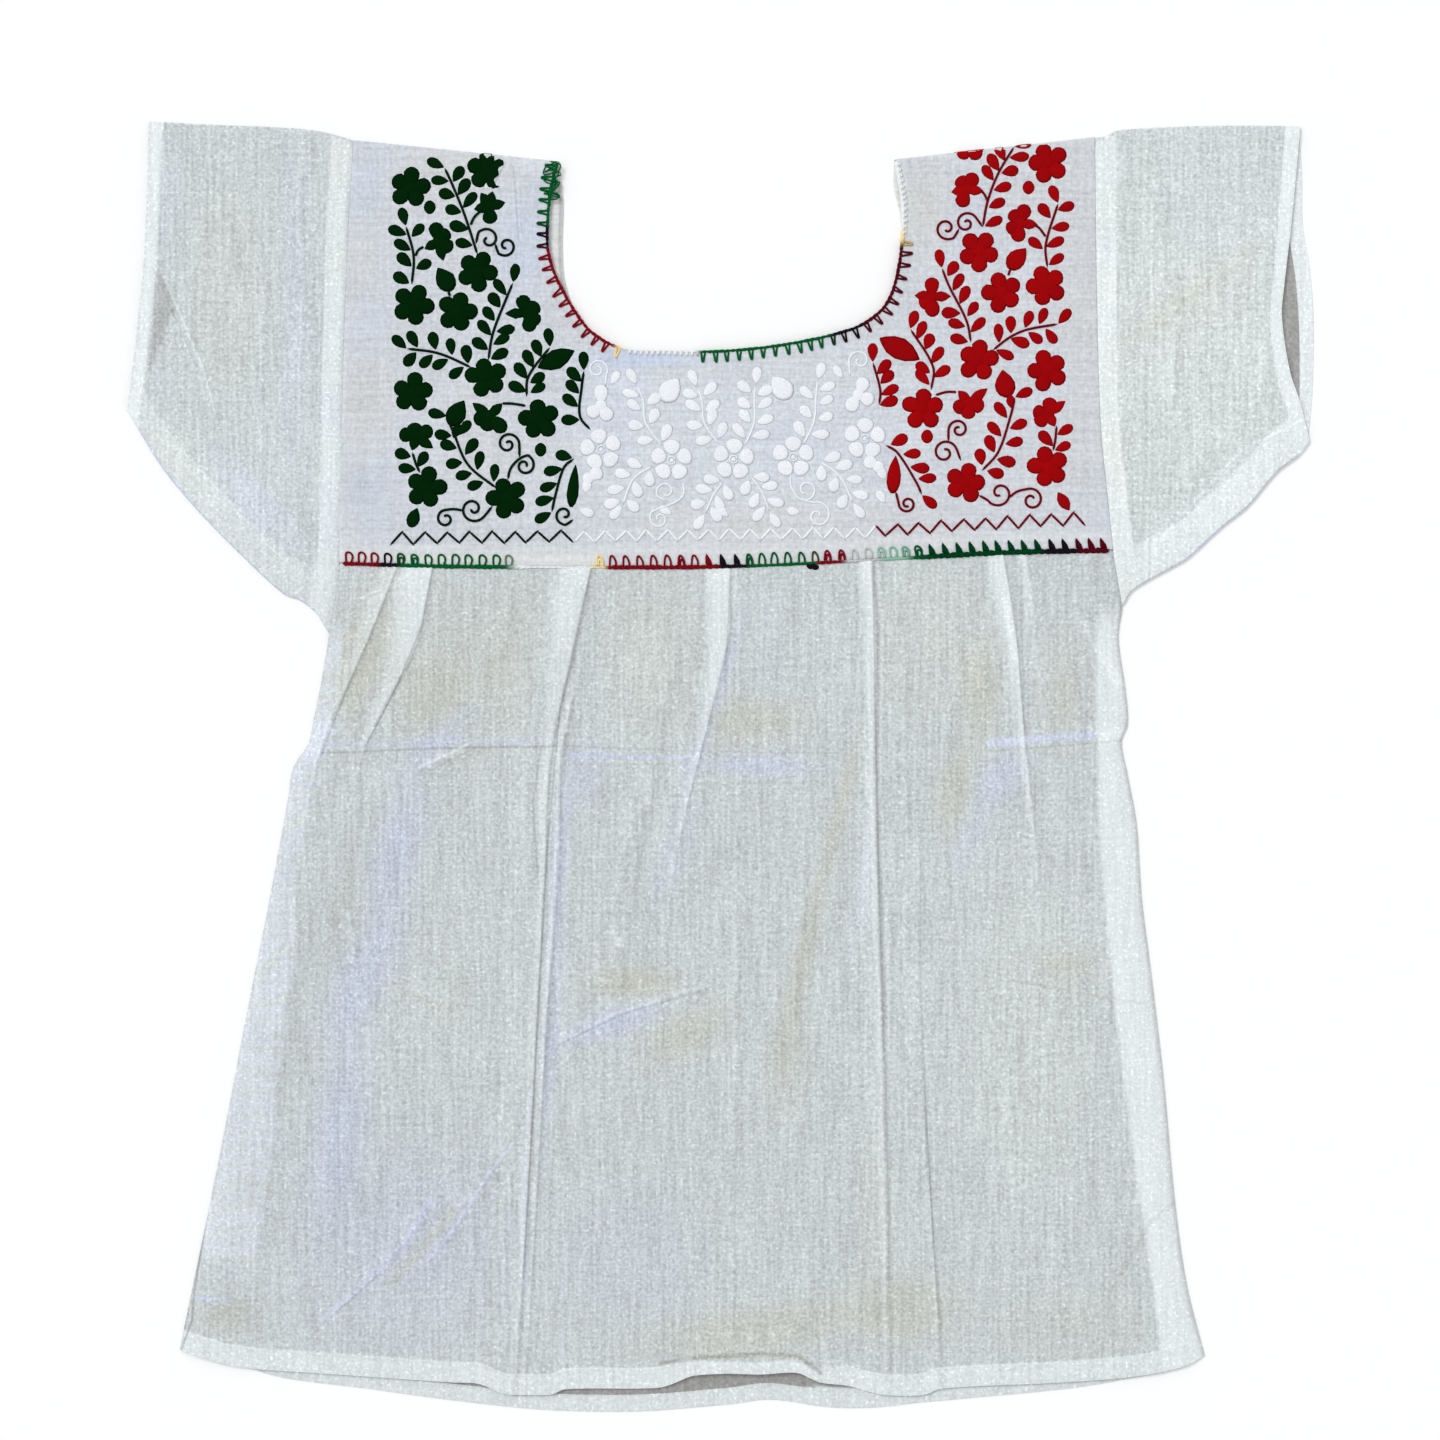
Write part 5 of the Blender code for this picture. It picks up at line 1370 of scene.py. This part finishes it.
threads = {     # colour and deeper tone of the pads and of the lines, and the lines' radius in mm; a pad turns to its deeper tone at its rim, partly the stitched outline and partly painted shade
    "green": {"pads": (srgb(0, 36, 5), srgb(0, 22, 3)), "lines": (srgb(4, 32, 16), srgb(2, 24, 12)),
              "radius": 0.78},
    "red": {"pads": (srgb(160, 5, 9), srgb(118, 2, 8)), "lines": (srgb(112, 6, 20), srgb(90, 4, 16)),
            "radius": 0.72},
    "white": {"pads": (srgb(240, 243, 247), srgb(222, 226, 234)),
              "lines": (srgb(244, 247, 250), srgb(228, 232, 238)),
              "radius": 0.55},
}
for index, (colourName, table) in enumerate(panels.items()):
    facts = threads[colourName]
    radius = facts["radius"] * mm
    pads, lines = Stitching(11 + index), Stitching(31 + index)
    for row in table["flowers"]:
        (openFlower if colourName == "white" else flower)(pads, *row)
    for row in table["sideFlowers"]:
        sideFlower(pads, *row)
    for link in table["links"]:
        layThread(lines, Line(link).points, stitchSizes["stemLift"], radius)
    for row in table["sprigs"]:
        sprig(pads, lines, radius, *row)
    for x, y, turn, length, width, form in table["buds"]:
        placePad(pads, (x, y), turn, (length, width, stitchSizes["budHeight"]), form)
    for x, y in table["berries"]:
        placePad(pads, (x, y - stitchSizes["berry"][0] / 2), 90, stitchSizes["berry"], "berry")
    for row in table["scrolls"]:
        scroll(lines, radius, *row)
    zigzag(lines, *table["zigzag"])
    pads.piece(colourName + "Pads", makeThread(colourName + "PadThread", facts["pads"]), "yoke_cotton")
    lines.piece(colourName + "Lines", makeThread(colourName + "LineThread", facts["lines"]), "yoke_cotton")
print("embroidery made")


# Blanket stitch along the yoke's lower seam and round the neck, in thread that changes colour

dyes = {
    "red": srgb(128, 10, 26), "darkRed": srgb(84, 8, 24), "black": srgb(26, 18, 26), "green": srgb(0, 92, 42),
    "deepGreen": srgb(0, 62, 30), "paleGreen": srgb(140, 190, 164), "white": srgb(238, 241, 241),
    "cream": srgb(246, 222, 160), "grey": srgb(200, 200, 198),
}
seamDyes = [     # by x in mm along the seam
    (-218, "red"), (-196, "red"), (-193, "black"), (-184, "black"), (-181, "green"), (-122, "green"),
    (-114, "white"), (-76, "white"), (-72, "cream"), (-67, "cream"), (-64, "red"), (-3, "red"), (0, "black"),
    (14, "black"), (17, "green"), (53, "green"), (56, "red"), (69, "red"), (73, "grey"), (88, "grey"),
    (93, "paleGreen"), (104, "paleGreen"), (110, "green"), (120, "deepGreen"), (180, "deepGreen"),
    (184, "black"), (202, "black"), (205, "darkRed"), (224, "darkRed"),
]
neckDyes = [     # by share of the way round the neck, from the right shoulder
    (0.0, "green"), (0.095, "green"), (0.105, "black"), (0.13, "black"), (0.14, "red"), (0.325, "red"),
    (0.335, "cream"), (0.345, "white"), (0.455, "white"), (0.465, "green"), (0.665, "green"),
    (0.675, "black"), (0.72, "black"), (0.73, "darkRed"), (0.865, "darkRed"), (0.875, "cream"),
    (0.90, "white"), (1.0, "white"),
]
loops = {     # one stitch each, in mm along the edge and into the cloth
    "bow": [(-1.5, 0), (-1.7, 3.0), (-1.4, 5.6), (0.4, 6.0), (2.0, 4.4), (2.1, 2.4), (1.2, 0.1)],
    "oval": [(-1.9, 0), (-1.5, 3.0), (-0.7, 5.8), (0.4, 6.0), (1.5, 4.2), (1.9, 2.0), (1.6, 0.1)],
    "spike": [(-1.3, -0.2), (-0.8, 2.6), (-0.35, 5.5), (0.25, 5.6), (0.6, 3.2), (1.3, -0.1)],
}
fins = ((-1.5, 7.0, 0.0), (-0.6, 6.6, -0.06), (0.4, 5.8, -0.16), (1.4, 4.4, -0.3))     # foot, reach and slope
seamLoops = [     # which loop is sewn up to this x in mm, and how it leans
    (-118, "bow", 0.0), (-72, None, 0), (-12, "oval", -0.12), (15, "fin", 0.0), (80, "oval", -0.1),
    (116, "bow", -0.12), (224, "fin", -0.1),
]
trim = {
    "cord": [(-218, 1.0), (-114, 1.05), (-108, 0.5), (-70, 0.55), (-60, 1.1), (0, 1.1), (20, 0.75), (70, 0.8),
             (85, 0.5), (110, 0.9), (125, 1.35), (224, 1.35)],     # radius of a strand in mm, by place
    "cordTwist": 7.2 * mm, "seamStep": 7.5, "seamFrom": -211.5, "seamTo": 220, "jitter": 0.6,
    "filled": 0.45, "filledSize": 0.62,     # how many loops are nearly filled, and by how large a loop
    "strand": 0.62 * mm, "knot": (52.0, 113.0), "knotSize": (4.2, 3.0, 1.0),
    "neckCord": [(0, 0.8), (0.33, 0.8), (0.35, 0.5), (0.45, 0.5), (0.47, 0.75), (0.86, 0.85), (0.88, 1.1),
                 (1, 1.1)],
    "neckTwist": 6.5 * mm, "neckStep": 6.7, "neckFrom": 3.0 * mm, "neckTo": 2 * mm,
    "white": ((0.34, 0.462), (0.88, 1.0)), "whiteStep": 3.2, "whiteSize": 0.35, "spikeSize": 1.02,
    "tangle": (-101.5, -90.5, 322.0, 345.0), "tangleThreads": 3, "tangleKnots": 13, "tangleThread": 0.42 * mm,
    "overlock": (0.03, 0.30), "overlockSteps": 150, "overlockWidth": (0.3, 2.6), "overlockThread": 0.22 * mm,
}


def dyeAt(stops, where):
    places, colours = [place for place, name in stops], np.array([dyes[name] for place, name in stops])
    return np.stack([np.interp(where, places, colours[:, axis]) for axis in range(4)], axis=-1)


def nearEdge(x, y, lift):     # on the yoke close to a seam or an edge, where it has no relief
    return np.stack([x, y, layers["frontLevel"] + layers["denseCloth"] / 2 + lift], axis=-1)


def edgeLoop(work, foot, along, into, form, size, lean, dye):     # along and into are flat unit vectors
    flat = Line(loops[form], steps=3).points * size
    spots = foot + np.outer(flat[:, 0] + lean * flat[:, 1], along) + np.outer(flat[:, 1], into)
    lift = (0.15 + 0.4 * np.sin(np.linspace(0, math.pi, len(flat)))) * mm
    work.tube(nearEdge(spots[:, 0], spots[:, 1], lift), trim["strand"], dye, 5)


def fin(work, foot, lean, size, dye):     # strands so close together that they look filled
    for start, reach, slope in fins:
        share = np.linspace(0, 1, 5)
        x = foot[0] + (start + (slope + lean) * reach * share) * mm * size
        y = foot[1] + reach * share * mm * size
        lift = (0.2 + 0.3 * np.sin(share * math.pi)) * mm
        work.tube(nearEdge(x, y, lift), trim["strand"] * 1.15, dye, 5)


def twist(work, flat, sideways, radius, pitch, length, dye):     # two strands round each other
    shares = np.linspace(0, 1, len(flat))
    for strand in (0, 1):
        phase = shares * length / pitch * 2 * math.pi + strand * math.pi
        spots = flat + sideways * (0.45 * radius * np.sin(phase))[:, None]
        lift = 0.2 * mm + 0.4 * radius * np.cos(phase)
        uneven = radius * (0.85 + 0.12 * np.sin(phase * 0.37))
        work.tube(nearEdge(spots[:, 0], spots[:, 1], lift), uneven, dye, 6)


seamTrim = Stitching(51)
seamLine = Line(outline["yokeSeam"])
flat = seamLine.at(np.linspace(0.004, 0.996, 260)) + np.array([0, -0.5 * mm])
strandSize = np.interp(flat[:, 0] / mm, *zip(*trim["cord"])) * mm
seamColours = dyeAt(seamDyes, flat[:, 0] / mm)
twist(seamTrim, flat, np.array([0, 1.0]), strandSize, trim["cordTwist"], seamLine.length, seamColours)
place = trim["seamFrom"]
while place < trim["seamTo"]:
    foot = np.array([place * mm, float(seamLine.yAt(place * mm))])
    swing = noise.noise(Vector((place * 0.05, 2.0, 0)))
    kind, lean = next((kind, lean) for end, kind, lean in seamLoops if place < end)
    dye, size = dyeAt(seamDyes, place), 1 + 0.12 * swing
    if kind == "fin":
        fin(seamTrim, foot, lean + 0.08 * swing, size, dye)
    elif kind:
        edgeLoop(seamTrim, foot, (1, 0), (0, 1), kind, size, lean + 0.16 * swing, dye)
        if seamTrim.chance.random() < trim["filled"]:
            inner = foot + np.array([0.3, 0.2]) * mm
            edgeLoop(seamTrim, inner, (1, 0), (0, 1), kind, size * trim["filledSize"], lean, dye)
    place += trim["seamStep"] + seamTrim.chance.uniform(-trim["jitter"], trim["jitter"])
length, width, height = trim["knotSize"]
for turn in (20, 80, 140):
    seamTrim.pad(nearEdge, trim["knot"], turn, length, width, forms["berry"], height, dyes["black"])
trimThread = makeThread("trimThread")
seamTrim.piece("seamStitches", trimThread, "yoke_cotton")

neckTrim = Stitching(52)
neckLine = Line(outline["neckFront"])
edgeShares = np.linspace(0.0, 1.0, 240)
flat = neckLine.at(edgeShares)
waysOn = np.gradient(flat, axis=0)
waysOn /= np.linalg.norm(waysOn, axis=1)[:, None]
waysIn = np.stack([waysOn[:, 1], -waysOn[:, 0]], axis=-1)     # away from the opening, into the cloth
cordSize = np.interp(edgeShares, *zip(*trim["neckCord"])) * mm
twist(neckTrim, flat, waysIn, cordSize, trim["neckTwist"], neckLine.length, dyeAt(neckDyes, edgeShares))
run = trim["neckFrom"]
while run < neckLine.length - trim["neckTo"]:
    share = run / neckLine.length
    on = neckLine.at(min(1, share + 0.004)) - neckLine.at(max(0, share - 0.004))
    on /= np.linalg.norm(on)
    into = np.array([on[1], -on[0]])
    swing = noise.noise(Vector((run * 60, 5.0, 0)))
    white = any(low < share < high for low, high in trim["white"])     # small close stitches there
    size = trim["whiteSize"] if white else trim["spikeSize"] + 0.15 * swing
    edgeLoop(neckTrim, neckLine.at(share), on, into, "spike", size, 0.3 * swing, dyeAt(neckDyes, share))
    jitter = 0.0 if white else neckTrim.chance.uniform(-trim["jitter"], trim["jitter"])
    run += (trim["whiteStep" if white else "neckStep"] + jitter) * mm
low, high, floorY, topY = trim["tangle"]
count = trim["tangleKnots"]
# A tangle of loose loops at the shoulder, out to the back's edge
for thread in range(trim["tangleThreads"]):
    knots = [(neckTrim.chance.uniform(low, high),
              mix(topY, floorY, (step + neckTrim.chance.uniform(-1.4, 1.4)) / count))
              for step in range(1, count)]
    points = Line(knots, steps=3).points
    lift = (0.5 + 0.4 * np.sin(np.arange(len(points)) * 0.9)) * mm
    neckTrim.tube(nearEdge(points[:, 0], points[:, 1], lift), trim["tangleThread"], dyes["green"], 5)
steps = np.arange(trim["overlockSteps"])     # overlocked edge of the back, seen through the neck
back = Line(outline["neckBack"]).at(np.linspace(*trim["overlock"], len(steps)))
across = np.where(steps % 2 == 0, *trim["overlockWidth"]) * mm
level = np.full(len(steps), layers["backLevel"] + 0.65 * mm)
spots = np.column_stack([back[:, 0] - across, back[:, 1], level])
neckTrim.tube(spots, trim["overlockThread"], dyes["white"], 4)
neckTrim.piece("neckStitches", trimThread, "yoke_cotton")
print("trims made")


# Running stitches along the turned hems and cuffs

hemThread = {     # each row of stitches as a share of the band's depth; stitch, gap and thread in metres
    "hemShares": (0.88, 0.08), "hemStitch": 2.6 * mm, "hemGap": 1.3 * mm,
    "cuffShares": (0.9, 0.1), "cuffStitch": 2.4 * mm, "cuffGap": 1.2 * mm,
    "radius": 0.17 * mm, "steps": 400, "arch": np.array([-0.05, 0.1, 0.1, -0.05]) * mm,
}


def runningStitch(work, row, length, gap):     # dashes of thread on a row of x, y and z in metres
    points = np.stack([row[0], row[1], row[2] + layers["sheerCloth"] / 2], axis=-1)
    runs = np.concatenate([[0.0], np.cumsum(np.linalg.norm(np.diff(points, axis=0), axis=1))])
    start = gap
    while start + length < runs[-1]:
        where = start + length * np.linspace(0, 1, 4)
        spots = np.stack([np.interp(where, runs, points[:, axis]) for axis in range(3)], axis=-1)
        spots[:, 2] += hemThread["arch"]
        work.tube(spots, hemThread["radius"], dyes["white"], 4)
        start += length + gap


hemStitches = Stitching(61)
acrossHem = np.linspace(0.01, 0.99, hemThread["steps"])
for rowOf, panel, depth in ((frontRow, Panel("frontHem"), "hemBand"),
                            (backRow, Panel("backHem"), "backBand")):
    for share in hemThread["hemShares"]:
        row = rowOf(panel, acrossHem, 1 - skirt[depth] * share / skirt["stitchLength"])
        runningStitch(hemStitches, row[:3], hemThread["hemStitch"], hemThread["hemGap"])
for facts in sleeveSets.values():
    for share in hemThread["cuffShares"]:
        row = sleeveFront(facts, 1 - sleeves["cuffBand"] * share / sleeves["length"])
        runningStitch(hemStitches, np.array(row[:3])[:, 3:-3], hemThread["cuffStitch"], hemThread["cuffGap"])
hemColours = srgb(236, 240, 240), srgb(212, 216, 218)
hemStitches.piece("hemStitches", makeThread("hemThread", hemColours), "sheer_cotton")
print("hems stitched")


# Floor, light and camera

studio = {
    "floor": (0.985, 0.985, 0.98, 1), "floorRoughness": 0.9, "floorSize": 6.0,
    "sky": (0.97, 0.98, 1.0, 1), "skyLight": 0.72,
    "sunLight": 1.35, "sunTurn": (-28, -34, 0), "sunSoftness": 22,
    "lens": 50, "sensor": 36, "frameWidth": 0.8208, "lookAt": (-0.0005, 0.027),
}
floorPaint = Shader("floorPaint")
floorPaint.surface.inputs["Base Color"].default_value = studio["floor"]
floorPaint.surface.inputs["Roughness"].default_value = studio["floorRoughness"]
bm = bmesh.new()
bmesh.ops.create_grid(bm, x_segments=1, y_segments=1, size=studio["floorSize"] / 2)
floor = placed("floor", bm, floorPaint.material)

world = bpy.data.worlds.new("studioLight")
world.use_nodes = True
background = world.node_tree.nodes["Background"]
background.inputs["Color"].default_value = studio["sky"]
background.inputs["Strength"].default_value = studio["skyLight"]
bpy.context.scene.world = world
sun = bpy.data.lights.new("windowLight", "SUN")
sun.energy = studio["sunLight"]
sun.angle = math.radians(studio["sunSoftness"])
window = bpy.data.objects.new("windowLight", sun)
window.rotation_euler = [math.radians(angle) for angle in studio["sunTurn"]]
bpy.context.scene.collection.objects.link(window)

lens = bpy.data.cameras.new("camera")
lens.lens = studio["lens"]
lens.sensor_width = studio["sensor"]
lens.clip_start = 0.01
camera = bpy.data.objects.new("camera", lens)
camera.location = (*studio["lookAt"], studio["frameWidth"] * studio["lens"] / studio["sensor"])
bpy.context.scene.collection.objects.link(camera)
bpy.context.scene.camera = camera
bpy.context.scene.view_settings.view_transform = "Standard"
print("studio made")
